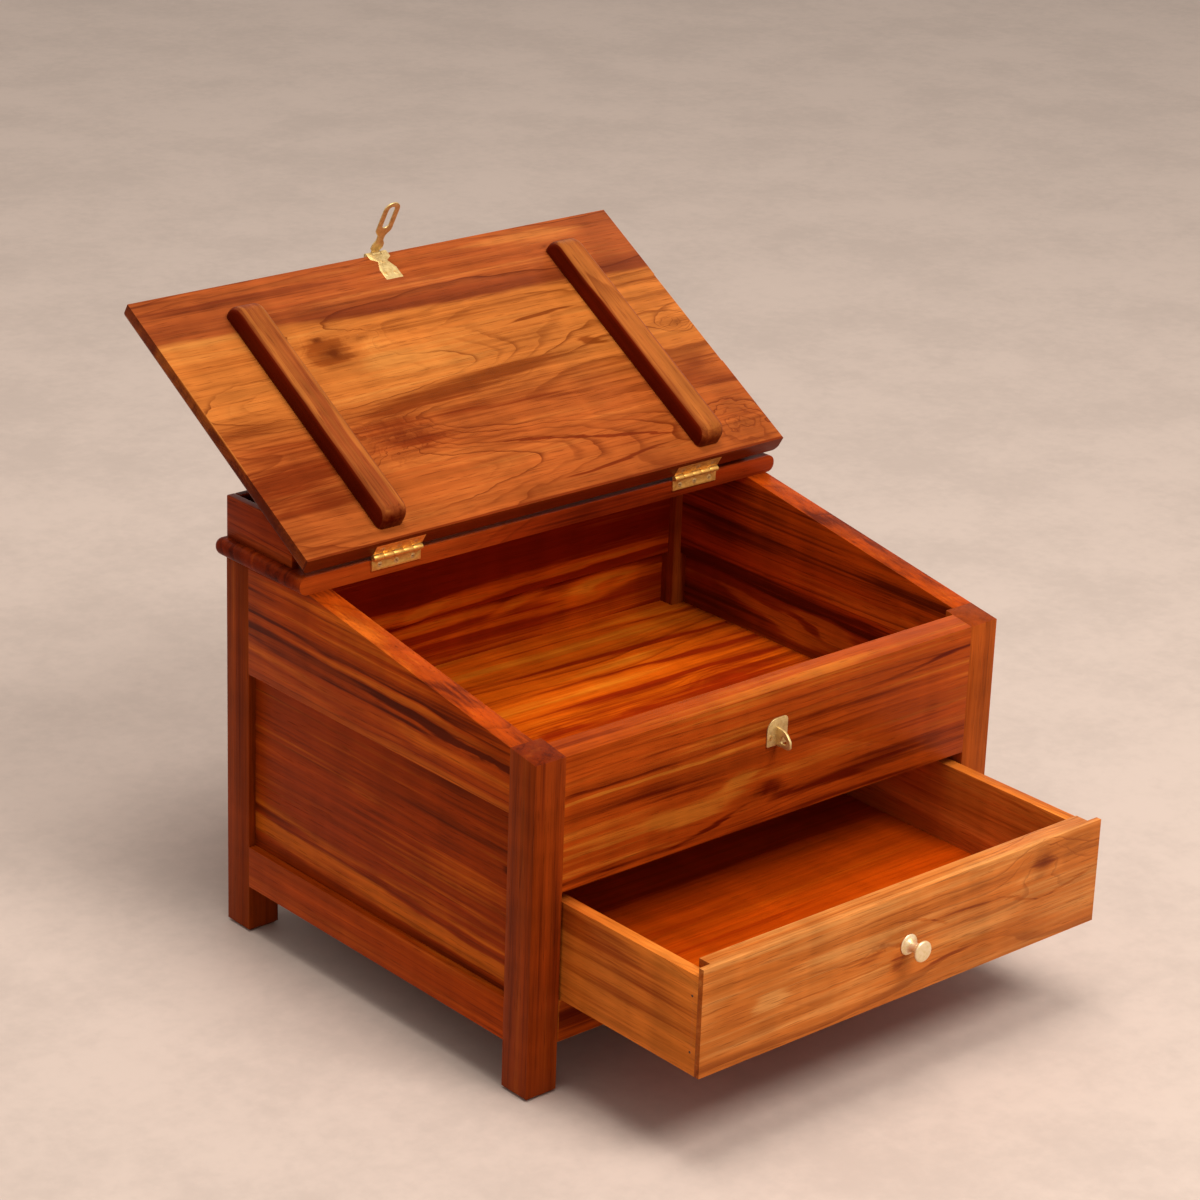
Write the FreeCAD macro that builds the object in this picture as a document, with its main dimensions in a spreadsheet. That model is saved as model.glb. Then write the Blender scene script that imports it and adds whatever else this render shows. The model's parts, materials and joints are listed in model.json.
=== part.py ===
import FreeCAD, Part
import os
import re
import Sketcher

# A writing box: a post-and-panel case with a sloping lid over a letter compartment,
# a drawer under it, a fixed top with a low gallery at the back, and brass fittings.
# +X to the right, +Y to the back, +Z up, in millimetres. The origin is on the floor,
# under the middle of the case. The lid stands open and the drawer is pulled out.

SIZES = {
    # case
    "case_width": 500,
    "case_depth": 395,
    "front_height": 285,
    "lid_slope": 9.5,
    "post_side": 30,
    "post_foot_chamfer": 2.5,
    "rail_thickness": 22,
    "foot_height": 42.5,
    "bottom_rail_height": 36.5,
    "top_rail_low": 236,
    "drawer_opening_height": 93,
    "panel_thickness": 8,
    "panel_recess": 7,
    "panel_seam_height": 168,
    "groove_depth": 6,
    "tenon_length": 14,
    "tenon_shoulder": 4,
    "tenon_top_shoulder": 12,
    # inside the case
    "floor_lift": 15,
    "floor_thickness": 12,
    "kicker_thickness": 11.5,
    "kicker_width": 30,
    "runner_height": 19,
    "runner_width": 26,
    "guide_height": 18,
    # fixed top and gallery
    "fixed_top_run": 112,
    "fixed_top_thickness": 15,
    "fixed_top_overhang": 9,
    "fixed_top_back_overhang": 7.5,
    "fixed_top_round": 7,
    "gallery_height": 36.6,
    "gallery_thickness": 8,
    "cheek_setback": 23,
    # lid
    "lid_thickness": 15,
    "lid_side_overhang": 9,
    "lid_front_overhang": 3.5,
    "lid_rest_angle": 31,
    "lid_round": 6,
    "rear_board_width": 96,
    "front_board_width": 84,
    "batten_width": 26,
    "batten_height": 19,
    "batten_round": 5,
    "batten_start": 13,
    "batten_end_margin": 31,
    "batten_near_round": 11,
    "batten_far_round": 17,
    "left_batten_inset": 82,
    "right_batten_inset": 71,
    # lid hinges
    "hinge_length": 50,
    "hinge_inset": 87,
    "knuckle_radius": 2.5,
    "hinge_rise": 2.6,
    "leaf_thickness": 1.3,
    "leaf_height": 11.5,
    "lid_leaf_height": 13,
    "pin_radius": 1.2,
    "hinge_screw_spacing": 17,
    "hinge_screw_drop": 7.2,
    "screw_head_radius": 2.4,
    "screw_radius": 1.1,
    "screw_length": 9,
    # hasp
    "hasp_width": 22,
    "hasp_knuckle_radius": 2.3,
    "hasp_flap_knuckle": 9,
    "hasp_plate_length": 29,
    "hasp_waist": 10,
    "hasp_shoulder": 4,
    "hasp_tail_width": 18,
    "hasp_tail_length": 12,
    "hasp_plate_thickness": 1.3,
    "hasp_lean": 3,
    "flap_length": 58,
    "flap_neck_width": 8,
    "flap_loop_width": 17,
    "flap_slot_width": 7,
    "flap_slot_length": 24,
    "flap_rim": 4.5,
    "staple_width": 22,
    "staple_height": 24,
    "staple_corner": 6,
    "staple_thickness": 1.3,
    "staple_screw_place": 7.4,
    "ear_reach": 17,
    "ear_height": 16,
    "ear_thickness": 2.2,
    "ear_hole_radius": 3,
    # drawer
    "drawer_side_gap": 2.5,
    "drawer_top_gap": 2.2,
    "drawer_back_gap": 1.5,
    "drawer_pull": 157.5,
    "drawer_front_thickness": 17,
    "drawer_lip": 5,
    "drawer_side_thickness": 11,
    "drawer_side_drop": 7.5,
    "drawer_back_thickness": 11,
    "drawer_back_drop": 6,
    "drawer_bottom_lift": 8,
    "drawer_bottom_thickness": 6,
    "drawer_groove": 5,
    "nail_radius": 1.1,
    "nail_length": 24,
    "nail_margin": 18,
    "knob_height": 45,
    "rose_radius": 8.7,
    "rose_thickness": 1.6,
    "knob_neck_radius": 3.6,
    "knob_head_radius": 8.8,
    "knob_length": 17.5,
    "knob_screw_radius": 2,
    "knob_screw_head_radius": 4.2,
    "knob_screw_head_height": 2.6,
    # clearances
    "moving_gap": 0.3,
    "pin_gap": 0.05,
    "panel_gap": 0.2,
}

# Places worked out from the sizes. Lid places are measured from the hinge axis:
# "reach" along the lid from the hinge edge, "deep" square to it, towards the underside.
PLACES = {
    "half_width": "case_width / 2",
    "half_depth": "case_depth / 2",
    "post_x": "half_width - post_side",
    "post_y": "half_depth - post_side",
    "rail_x": "half_width - rail_thickness",
    "rail_y": "half_depth - rail_thickness",
    "panel_x": "half_width - panel_recess",
    "panel_y": "half_depth - panel_recess",
    "panel_in_x": "panel_x - panel_thickness",
    "panel_in_y": "panel_y - panel_thickness",
    "bottom_rail_top": "foot_height + bottom_rail_height",
    "front_board_low": "bottom_rail_top + drawer_opening_height",
    "floor_top": "front_board_low + floor_lift",
    "floor_low": "floor_top - floor_thickness",
    "slope": "tan(lid_slope)",
    "fixed_front": "half_depth - fixed_top_run",
    "fixed_low": "front_height + slope * (fixed_front + half_depth)",
    "fixed_high": "fixed_low + fixed_top_thickness",
    "tenon_high": "front_height - tenon_top_shoulder",
    "tenon_low": "foot_height + tenon_shoulder",
    "tenon_x": "post_x + tenon_length",
    "tenon_y": "post_y + tenon_length",
    "hinge_place": "half_width - hinge_inset",
    "left_batten_x": "left_batten_inset - half_width",
    "right_batten_x": "half_width - right_batten_inset",
    "axis_y": "fixed_front - knuckle_radius",
    "axis_z": "fixed_high + hinge_rise",
    "axis_over_rails": "(axis_z - front_height - slope * (axis_y + half_depth)) * cos(lid_slope)",
    "under_deep": "axis_over_rails - moving_gap",
    "outer_deep": "under_deep - lid_thickness",
    "lid_start": "knuckle_radius - leaf_thickness",
    "lid_end": "(axis_y + half_depth + under_deep * sin(lid_slope) + lid_front_overhang) / cos(lid_slope)",
    "lid_half": "half_width + lid_side_overhang",
    "rear_seam": "lid_start + rear_board_width",
    "front_seam": "lid_end - front_board_width",
    "batten_end": "lid_end - batten_end_margin",
    "cheek_front": "fixed_front + cheek_setback",
    "cheek_lift": "axis_z + (outer_deep - moving_gap) / cos(lid_rest_angle)",
    "cheek_nose": "cheek_lift + (cheek_front - axis_y) * tan(lid_rest_angle)",
    "gallery_top": "fixed_high + gallery_height",
    "cheek_shoulder": "axis_y + (gallery_top - cheek_lift) / tan(lid_rest_angle)",
    "hasp_reach": "lid_end + hasp_knuckle_radius + moving_gap",
    "hasp_deep": "under_deep - hasp_knuckle_radius",
    "hasp_closed_z": "axis_z - hasp_reach * sin(lid_slope) - hasp_deep * cos(lid_slope)",
    "slot_middle": "flap_length - flap_rim - flap_slot_length / 2",
    "ear_z": "hasp_closed_z - slot_middle",
    "front_y": "0 - half_depth",
    "drawer_half": "post_x - drawer_side_gap",
    "drawer_inner": "drawer_half - drawer_side_thickness",
    "drawer_low": "bottom_rail_top + moving_gap",
    "drawer_high": "front_board_low - drawer_top_gap",
    "drawer_face": "front_y - drawer_pull",
    "drawer_inside": "drawer_face + drawer_front_thickness",
    "drawer_end": "panel_in_y - drawer_back_gap - drawer_pull",
    "drawer_side_top": "drawer_high - drawer_side_drop",
    "drawer_back_in": "drawer_end - drawer_back_thickness",
    "drawer_bottom_low": "drawer_low + drawer_bottom_lift",
    "drawer_bottom_high": "drawer_bottom_low + drawer_bottom_thickness",
    "knob_z": "drawer_low + knob_height",
}

HINGE_KNUCKLES = 5
HINGE_SCREWS = 3
ARRIS_TEST = 0.01
VECTOR = FreeCAD.Vector
QUARTER_TURN = 90
FULL_TURN = 360
TURN_TO_X = FreeCAD.Rotation(VECTOR(0, 1, 0), QUARTER_TURN)

doc = FreeCAD.newDocument("writing_box")
sub_parts = []


# ---------------------------------------------------------------- sheets and helpers

def fill_sheet(name, cells):
    """One spreadsheet with a named value in each row."""
    sheet = doc.addObject("Spreadsheet::Sheet", name)
    for row, (alias, content) in enumerate(cells.items(), start=1):
        sheet.set("A%d" % row, alias)
        sheet.set("B%d" % row, content)
        sheet.setAlias("B%d" % row, alias)
    return sheet


def linked(expression):
    """Point each named value in an expression at the sheet that holds it."""
    def owner(match):
        word = match.group()
        if word in SIZES:
            return "Sizes." + word
        if word in PLACES:
            return "Places." + word
        return word
    return re.sub(r"[a-z][a-z_0-9]*", owner, str(expression))


def own_sheet(expression):
    """An expression for a cell of the Places sheet, which names its own cells bare."""
    return "=" + linked(expression).replace("Places.", "")


sizes = fill_sheet("Sizes", {name: str(value) for name, value in SIZES.items()})
doc.recompute()
fill_sheet("Places", {name: own_sheet(formula) for name, formula in PLACES.items()})
doc.recompute()


def number(expression):
    """The present value of an expression on the sheets."""
    value = sizes.evalExpression(linked(expression))
    return float(getattr(value, "Value", value))


def bind(thing, prop, expression):
    thing.setExpression(prop, linked(expression))


def put_at(thing, x="0", y="0", z="0"):
    for letter, expression in zip("xyz", (x, y, z)):
        bind(thing, "Placement.Base." + letter, expression)


def block(name, x, y, z):
    """A squared piece between two places along each axis."""
    box = doc.addObject("Part::Box", name)
    for prop, (low, high) in zip(("Length", "Width", "Height"), (x, y, z)):
        bind(box, prop, "(%s) - (%s)" % (high, low))
    put_at(box, x[0], y[0], z[0])
    return box


def rod(name, radius, x, y, z):
    """A round bar along X."""
    bar = doc.addObject("Part::Cylinder", name)
    bar.Placement = FreeCAD.Placement(VECTOR(), TURN_TO_X)
    bind(bar, "Radius", radius)
    bind(bar, "Height", "(%s) - (%s)" % (x[1], x[0]))
    put_at(bar, x[0], y, z)
    return bar


def fuse(name, pieces):
    joined = doc.addObject("Part::MultiFuse", name)
    joined.Shapes = pieces
    joined.Refine = True
    return joined


def cut(name, body, tools):
    """The body less every tool."""
    tool = tools[0] if len(tools) == 1 else fuse(name + "_tools", tools)
    result = doc.addObject("Part::Cut", name)
    result.Base = body
    result.Tool = tool
    return result


def group(name, solids):
    together = doc.addObject("Part::Compound", name)
    together.Links = solids
    return together


def mirrored(name, source):
    """The same piece on the other side of the box."""
    other = doc.addObject("Part::Mirroring", name)
    other.Source = source
    other.Normal = VECTOR(1, 0, 0)
    return other


def keep(name, thing):
    """Give a finished sub-part the name that its file takes."""
    thing.Label = name
    sub_parts.append(thing)
    return thing


def keep_pair(name, left):
    keep(name + "_left", left)
    return keep(name + "_right", mirrored(name + "_mirror", left))


def origin_plane(body, role):
    return [plane for plane in body.Origin.OriginFeatures if plane.Role == role][0]


def outline(body, name, plane, points):
    """A closed sketch of straight sides through points given as two expressions each."""
    sketch = body.newObject("Sketcher::SketchObject", name)
    sketch.AttachmentSupport = [(origin_plane(body, plane), "")]
    sketch.MapMode = "FlatFace"
    ends = [VECTOR(number(across), number(up), 0) for across, up in points]
    count = len(points)
    for index in range(count):
        sketch.addGeometry(Part.LineSegment(ends[index], ends[(index + 1) % count]), False)
    for index in range(count):
        sketch.addConstraint(Sketcher.Constraint("Coincident", index, 2, (index + 1) % count, 1))
    for index, (across, up) in enumerate(points):
        for kind, expression, value in (("DistanceX", across, ends[index].x),
                                        ("DistanceY", up, ends[index].y)):
            rule = sketch.addConstraint(Sketcher.Constraint(kind, -1, 1, index, 1, value))
            bind(sketch, "Constraints[%d]" % rule, expression)
    return sketch


def padded(name, plane, points, length, middle=True, backwards=False):
    """A body made by padding a straight-sided outline."""
    body = doc.addObject("PartDesign::Body", name)
    sketch = outline(body, name + "_outline", plane, points)
    pad = body.newObject("PartDesign::Pad", name + "_pad")
    pad.Profile = sketch
    pad.Midplane = middle
    pad.Reversed = backwards
    bind(pad, "Length", length)
    doc.recompute()
    return body


def edges_where(shape, test):
    """Names of the edges whose two ends and middle all pass a test."""
    found = []
    for index, edge in enumerate(shape.Edges, start=1):
        middle = edge.valueAt((edge.FirstParameter + edge.LastParameter) / 2)
        if all(test(point) for point in [vertex.Point for vertex in edge.Vertexes] + [middle]):
            found.append("Edge%d" % index)
    return found


def ease(body, name, kind, size, test):
    """A fillet or chamfer on the edges of a body's newest feature that pass a test."""
    base = body.Tip
    feature = body.newObject("PartDesign::" + kind, name)
    feature.Base = (base, edges_where(base.Shape, test))
    bind(feature, "Radius" if kind == "Fillet" else "Size", size)
    doc.recompute()
    return feature


def near(value, expression):
    return abs(value - number(expression)) < ARRIS_TEST


# ---------------------------------------------------------------- screws

def tilt(degrees):
    """A turn about X, at the part's own zero."""
    return FreeCAD.Placement(VECTOR(), FreeCAD.Rotation(VECTOR(1, 0, 0), degrees))


def screw(name, x, y, z, turn):
    """A countersunk wood screw. Unturned, it points down with its head's face at the place."""
    head = doc.addObject("Part::Cone", name + "_head")
    bind(head, "Radius1", "screw_radius")
    bind(head, "Radius2", "screw_head_radius")
    bind(head, "Height", "leaf_thickness")
    put_at(head, z="0 - leaf_thickness")
    shank = doc.addObject("Part::Cylinder", name + "_shank")
    bind(shank, "Radius", "screw_radius")
    bind(shank, "Height", "screw_length")
    put_at(shank, z="0 - screw_length")
    whole = fuse(name, [head, shank])
    whole.Placement = tilt(turn)
    put_at(whole, x, y, z)
    return whole


# ---------------------------------------------------------------- frame of the case

SIDE_GROOVE_X = ("0 - panel_x - panel_gap / 2", "0 - panel_in_x + panel_gap / 2")


def side_tenon(name, front, low, high):
    """The tenon for a left side rail's end, which also cuts its mortise."""
    y = ("0 - tenon_y", "0 - post_y") if front else ("post_y", "tenon_y")
    return block(name, ("0 - panel_x", "0 - panel_in_x"), y, (low, high))


def cross_tenon(name, front, low, high):
    """The tenon for a front or back rail's left end, which also cuts its mortise."""
    y = ("0 - panel_y", "0 - panel_in_y") if front else ("panel_in_y", "panel_y")
    return block(name, ("0 - tenon_x", "0 - post_x"), y, (low, high))


BOTTOM_TENON = ("tenon_low", "bottom_rail_top - groove_depth")
TOP_TENON = ("top_rail_low + groove_depth", "tenon_high")
BOARD_TENON = ("front_board_low + tenon_shoulder", "tenon_high")


def side_panel_tool():
    """The room that the left side panel takes in the posts and rails round it."""
    edge = "post_y + groove_depth"
    return block("side_panel_room", SIDE_GROOVE_X, ("0 - (%s)" % edge, edge),
                 ("bottom_rail_top - groove_depth", "top_rail_low + groove_depth"))


def back_panel_tool():
    """The room that the back panel takes in the posts and rails round it."""
    edge = "post_x + groove_depth"
    return block("back_panel_room", ("0 - (%s)" % edge, edge),
                 ("panel_in_y - panel_gap / 2", "panel_y + panel_gap / 2"),
                 ("bottom_rail_top - groove_depth", "top_rail_low + groove_depth"))


side_room = side_panel_tool()
back_room = back_panel_tool()


def make_posts():
    for front in (True, False):
        word = "front" if front else "rear"
        near_y = "0 - half_depth" if front else "post_y"
        far_y = "0 - post_y" if front else "half_depth"
        near_z = "front_height" if front else "fixed_low"
        far_z = "front_height + slope * post_side" if front else "fixed_low"
        name = "post_" + word
        body = padded(name + "_stick", "YZ_Plane",
                      [(near_y, "0"), (far_y, "0"), (far_y, far_z), (near_y, near_z)],
                      "post_side", middle=False)
        put_at(body, x="0 - half_width")
        ease(body, name + "_foot", "Chamfer", "post_foot_chamfer", lambda point: near(point.z, "0"))
        upper = BOARD_TENON if front else TOP_TENON
        tools = [side_tenon(name + "_side_low", front, *BOTTOM_TENON),
                 side_tenon(name + "_side_top", front, *TOP_TENON),
                 cross_tenon(name + "_cross_low", front, *BOTTOM_TENON),
                 cross_tenon(name + "_cross_top", front, *upper),
                 side_room]
        if not front:
            tools.append(back_room)
        keep_pair(name, cut(name + "_cut", body, tools))


def make_side_rails():
    span = ("0 - post_y", "post_y")
    low = fuse("side_bottom_stick", [
        block("side_bottom_bar", ("0 - half_width", "0 - rail_x"), span,
              ("foot_height", "bottom_rail_top")),
        side_tenon("side_bottom_tenon_front", True, *BOTTOM_TENON),
        side_tenon("side_bottom_tenon_rear", False, *BOTTOM_TENON)])
    keep_pair("side_bottom_rail", cut("side_bottom_cut", low, [side_room]))

    bar = padded("side_top_bar", "YZ_Plane",
                 [("0 - post_y", "top_rail_low"), ("post_y", "top_rail_low"),
                  ("post_y", "fixed_low"), ("fixed_front", "fixed_low"),
                  ("0 - post_y", "front_height + slope * post_side")],
                 "rail_thickness", middle=False)
    put_at(bar, x="0 - half_width")
    top = fuse("side_top_stick", [
        bar,
        side_tenon("side_top_tenon_front", True, *TOP_TENON),
        side_tenon("side_top_tenon_rear", False, *TOP_TENON)])
    keep_pair("side_top_rail", cut("side_top_cut", top, [side_room]))


def make_side_panels():
    """Each side panel is two boards glued edge to edge."""
    x = ("0 - panel_x", "0 - panel_in_x")
    edge = "post_y + groove_depth - panel_gap"
    y = ("0 - (%s)" % edge, edge)
    keep_pair("side_panel_lower", block(
        "side_panel_low", x, y, ("bottom_rail_top - groove_depth + panel_gap", "panel_seam_height")))
    keep_pair("side_panel_upper", block(
        "side_panel_up", x, y, ("panel_seam_height", "top_rail_low + groove_depth - panel_gap")))


def cross_rail(name, front, bar, tenon):
    """A front or back rail with a tenon at each end."""
    left = cross_tenon(name + "_tenon", front, *tenon)
    right = mirrored(name + "_tenon_right", left)
    return fuse(name + "_stick", [bar, left, right])


def make_cross_rails():
    x = ("0 - post_x", "post_x")
    front_y = ("0 - half_depth", "0 - rail_y")
    back_y = ("rail_y", "half_depth")
    keep("front_bottom_rail", cross_rail("front_bottom", True, block(
        "front_bottom_bar", x, front_y, ("foot_height", "bottom_rail_top")), BOTTOM_TENON))

    board = padded("front_board_bar", "YZ_Plane",
                   [("0 - half_depth", "front_board_low"), ("0 - rail_y", "front_board_low"),
                    ("0 - rail_y", "front_height + slope * rail_thickness"),
                    ("0 - half_depth", "front_height")], "2 * post_x")
    front = cross_rail("front_board", True, board, BOARD_TENON)
    keep("front_top_board", cut("front_board_cut", front, staple_screws))

    low = cross_rail("back_bottom", False, block(
        "back_bottom_bar", x, back_y, ("foot_height", "bottom_rail_top")), BOTTOM_TENON)
    keep("back_bottom_rail", cut("back_bottom_cut", low, [back_room]))
    top = cross_rail("back_top", False, block(
        "back_top_bar", x, back_y, ("top_rail_low", "fixed_low")), TOP_TENON)
    keep("back_top_rail", cut("back_top_cut", top, [back_room]))

    edge = "post_x + groove_depth - panel_gap"
    keep("back_panel", block("back_board", ("0 - (%s)" % edge, edge), ("panel_in_y", "panel_y"),
                             ("bottom_rail_top - groove_depth + panel_gap",
                              "top_rail_low + groove_depth - panel_gap")))


# ---------------------------------------------------------------- inside the case

def make_inside():
    """The compartment's floor, and what the drawer slides on, between and under."""
    sheet = block("floor_sheet", ("0 - panel_in_x", "panel_in_x"), ("0 - rail_y", "panel_in_y"),
                  ("floor_low", "floor_top"))
    notches = []
    for word, y in (("front", ("0 - half_depth", "0 - post_y")), ("rear", ("post_y", "half_depth"))):
        left = block("floor_notch_" + word, ("0 - half_width", "0 - post_x"), y,
                     ("floor_low - floor_thickness", "floor_top + floor_thickness"))
        notches += [left, mirrored("floor_notch_%s_right" % word, left)]
    keep("compartment_floor", cut("floor_cut", sheet, notches))

    between = ("0 - post_y", "post_y")
    keep_pair("drawer_kicker", block(
        "kicker_bar", ("0 - panel_in_x", "kicker_width - panel_in_x"), between,
        ("floor_low - kicker_thickness", "floor_low")))
    keep_pair("drawer_runner", block(
        "runner_bar", ("0 - rail_x", "runner_width - rail_x"), between,
        ("bottom_rail_top - runner_height", "bottom_rail_top")))
    keep_pair("drawer_guide", block(
        "guide_bar", ("0 - panel_in_x", "0 - post_x"), between,
        ("bottom_rail_top", "bottom_rail_top + guide_height")))


# ---------------------------------------------------------------- fixed top and gallery

def make_fixed_top():
    half = "half_width + fixed_top_overhang"
    back = "half_depth + fixed_top_back_overhang"
    board = padded("fixed_board", "XY_Plane",
                   [("0 - (%s)" % half, "fixed_front"), (half, "fixed_front"),
                    (half, back), ("0 - (%s)" % half, back)],
                   "fixed_top_thickness", middle=False)
    put_at(board, z="fixed_low")
    ease(board, "fixed_corners", "Fillet", "fixed_top_round",
         lambda point: near(abs(point.x), half) and near(point.y, back))
    ease(board, "fixed_bullnose", "Fillet", "fixed_top_round",
         lambda point: (near(point.z, "0") or near(point.z, "fixed_top_thickness"))
         and (near(abs(point.x), half) or not near(point.y, "fixed_front")))
    keep("fixed_top", cut("fixed_top_cut", board, fixed_screws))


def make_gallery():
    cheek = padded("cheek", "YZ_Plane",
                   [("cheek_front", "fixed_high"), ("half_depth", "fixed_high"),
                    ("half_depth", "gallery_top"), ("cheek_shoulder", "gallery_top"),
                    ("cheek_front", "cheek_nose")], "gallery_thickness", middle=False)
    put_at(cheek, x="0 - half_width")
    keep_pair("gallery_cheek", cheek)
    inner = "half_width - gallery_thickness"
    keep("gallery_back", block("gallery_board", ("0 - (%s)" % inner, inner),
                               ("half_depth - gallery_thickness", "half_depth"),
                               ("fixed_high", "gallery_top")))


# ---------------------------------------------------------------- brass fittings

def hang_on_lid(thing):
    """Set a piece that was made about the hinge axis at the open lid's place and tilt."""
    thing.Placement = tilt(number("lid_rest_angle"))
    bind(thing, "Placement.Rotation.Angle", "lid_rest_angle")
    put_at(thing, "0", "axis_y", "axis_z")
    return thing


def screw_row(name, y, z):
    """The screws of one left hinge leaf, pointing along +Y."""
    return [screw("%s_%d" % (name, index),
                  "%d * hinge_screw_spacing - hinge_place" % (index - HINGE_SCREWS // 2),
                  y, z, QUARTER_TURN)
            for index in range(HINGE_SCREWS)]


def mirror_all(things):
    return [mirrored(thing.Name + "_right", thing) for thing in things]


def hinge_leaf(name, own, y, z, plate_z, tab_z, screws):
    """A left leaf with its own knuckles about the pin's axis, which is at y, z."""
    start = "0 - hinge_place - hinge_length / 2"
    leaf_y = ("%s + lid_start" % y, "%s + knuckle_radius" % y)
    pieces = [block(name + "_plate", (start, "%s + hinge_length" % start), leaf_y, plate_z)]
    for index in own:
        x = ("%s + hinge_length * %d / %d + moving_gap / 2" % (start, index, HINGE_KNUCKLES),
             "%s + hinge_length * %d / %d - moving_gap / 2" % (start, index + 1, HINGE_KNUCKLES))
        pieces.append(block("%s_tab_%d" % (name, index), x, leaf_y, tab_z))
        pieces.append(rod("%s_knuckle_%d" % (name, index), "knuckle_radius", x, y, z))
    bore = rod(name + "_bore", "pin_radius + pin_gap", (start, "%s + hinge_length" % start), y, z)
    return cut(name + "_cut", fuse(name + "_joined", pieces), [bore] + screws)


def make_hinges():
    knuckle_room = "(knuckle_radius + moving_gap)"
    keep_pair("case_hinge_leaf", hinge_leaf(
        "case_leaf", range(0, HINGE_KNUCKLES, 2), "axis_y", "axis_z",
        ("axis_z - leaf_height", "axis_z - " + knuckle_room),
        ("axis_z - " + knuckle_room, "axis_z"), case_screws))
    keep_pair("lid_hinge_leaf", hang_on_lid(hinge_leaf(
        "lid_leaf", range(1, HINGE_KNUCKLES, 2), "0", "0",
        (knuckle_room, "lid_leaf_height"), ("0", knuckle_room), lid_screws)))
    start = "0 - hinge_place - hinge_length / 2"
    keep_pair("hinge_pin", rod("hinge_pin_bar", "pin_radius",
                               ("%s + moving_gap / 2" % start, "%s + hinge_length - moving_gap / 2" % start),
                               "axis_y", "axis_z"))
    keep("case_hinge_screws", group("case_screw_set", fixed_screws))
    keep("lid_hinge_screws", hang_on_lid(group("lid_screw_set", all_lid_screws)))


def make_staple():
    """The plate on the front board and the ear that the hasp's slot goes over."""
    face = "front_y - staple_thickness"
    plate = padded("staple_plate", "XZ_Plane",
                   [("0 - staple_width / 2", "0"), ("staple_width / 2", "0"),
                    ("staple_width / 2", "staple_height - staple_corner"),
                    ("staple_width / 2 - staple_corner", "staple_height"),
                    ("staple_corner - staple_width / 2", "staple_height"),
                    ("0 - staple_width / 2", "staple_height - staple_corner")],
                   "staple_thickness", middle=False)
    put_at(plate, y="front_y", z="ear_z - ear_height / 2")
    x = ("0 - ear_thickness / 2", "ear_thickness / 2")
    root = block("ear_root", x, ("front_y - ear_reach + ear_height / 2", face),
                 ("ear_z - ear_height / 2", "ear_z + ear_height / 2"))
    tip = rod("ear_tip", "ear_height / 2", x, "front_y - ear_reach + ear_height / 2", "ear_z")
    hole = rod("ear_hole", "ear_hole_radius", ("0 - ear_thickness", "ear_thickness"),
               "front_y - ear_reach + ear_height / 2", "ear_z")
    body = fuse("staple_joined", [plate, root, tip])
    keep("hasp_staple", cut("staple_cut", body, [hole] + staple_screws))
    keep("staple_screws", group("staple_screw_set", staple_screws))


def make_hasp_base():
    """The plate let into the lid's underside, with the outer knuckles at its front edge."""
    half = "hasp_width / 2"
    tail = "hasp_tail_width / 2"
    waist = "hasp_waist / 2"
    shoulder = "lid_end - hasp_shoulder"
    narrow = "lid_end - 2 * hasp_shoulder"
    broad = "lid_end - hasp_plate_length + hasp_tail_length"
    end = "lid_end - hasp_plate_length"
    right = [(half, "lid_end"), (half, shoulder), (waist, narrow), (tail, broad), (tail, end)]
    left = [("0 - " + across, along) for across, along in reversed(right)]
    plate = padded("hasp_plate", "XY_Plane", right + left, "hasp_plate_thickness", middle=False)
    put_at(plate, z="under_deep - hasp_plate_thickness")
    pieces = [plate]
    middle = "hasp_flap_knuckle / 2 + moving_gap / 2"
    for word, x in (("left", ("0 - (%s)" % half, "0 - (%s)" % middle)), ("right", (middle, half))):
        pieces.append(block("hasp_tab_" + word, x, ("lid_end", "hasp_reach"),
                            ("under_deep - hasp_plate_thickness", "under_deep")))
        pieces.append(rod("hasp_knuckle_" + word, "hasp_knuckle_radius", x, "hasp_reach", "hasp_deep"))
    bore = rod("hasp_bore", "pin_radius + pin_gap", ("0 - (%s)" % half, half), "hasp_reach", "hasp_deep")
    keep("hasp_base", hang_on_lid(cut("hasp_cut", fuse("hasp_joined", pieces), [bore] + hasp_screws)))
    pin = rod("hasp_pin_bar", "pin_radius", ("moving_gap / 2 - " + half, half + " - moving_gap / 2"),
              "hasp_reach", "hasp_deep")
    keep("hasp_pin", hang_on_lid(group("hasp_pin_set", [pin])))
    keep("hasp_screws", hang_on_lid(group("hasp_screw_set", hasp_screws)))
    return plate


def rounded_strip(name, width, length, y, middle):
    """A flat piece with round ends, standing along Z."""
    straight = "((%s) - (%s)) / 2" % (length, width)
    bar = block(name + "_bar", ("0 - (%s) / 2" % width, "(%s) / 2" % width), y,
                ("%s - %s" % (middle, straight), "%s + %s" % (middle, straight)))
    pieces = [bar]
    for word, sign in (("low", "-"), ("high", "+")):
        disc = doc.addObject("Part::Cylinder", "%s_%s" % (name, word))
        disc.Placement = tilt(-QUARTER_TURN)
        bind(disc, "Radius", "(%s) / 2" % width)
        bind(disc, "Height", "(%s) - (%s)" % (y[1], y[0]))
        put_at(disc, "0", y[0], "%s %s %s" % (middle, sign, straight))
        pieces.append(disc)
    return fuse(name, pieces)


FLAP_TILT = "lid_rest_angle - hasp_lean"


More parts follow.
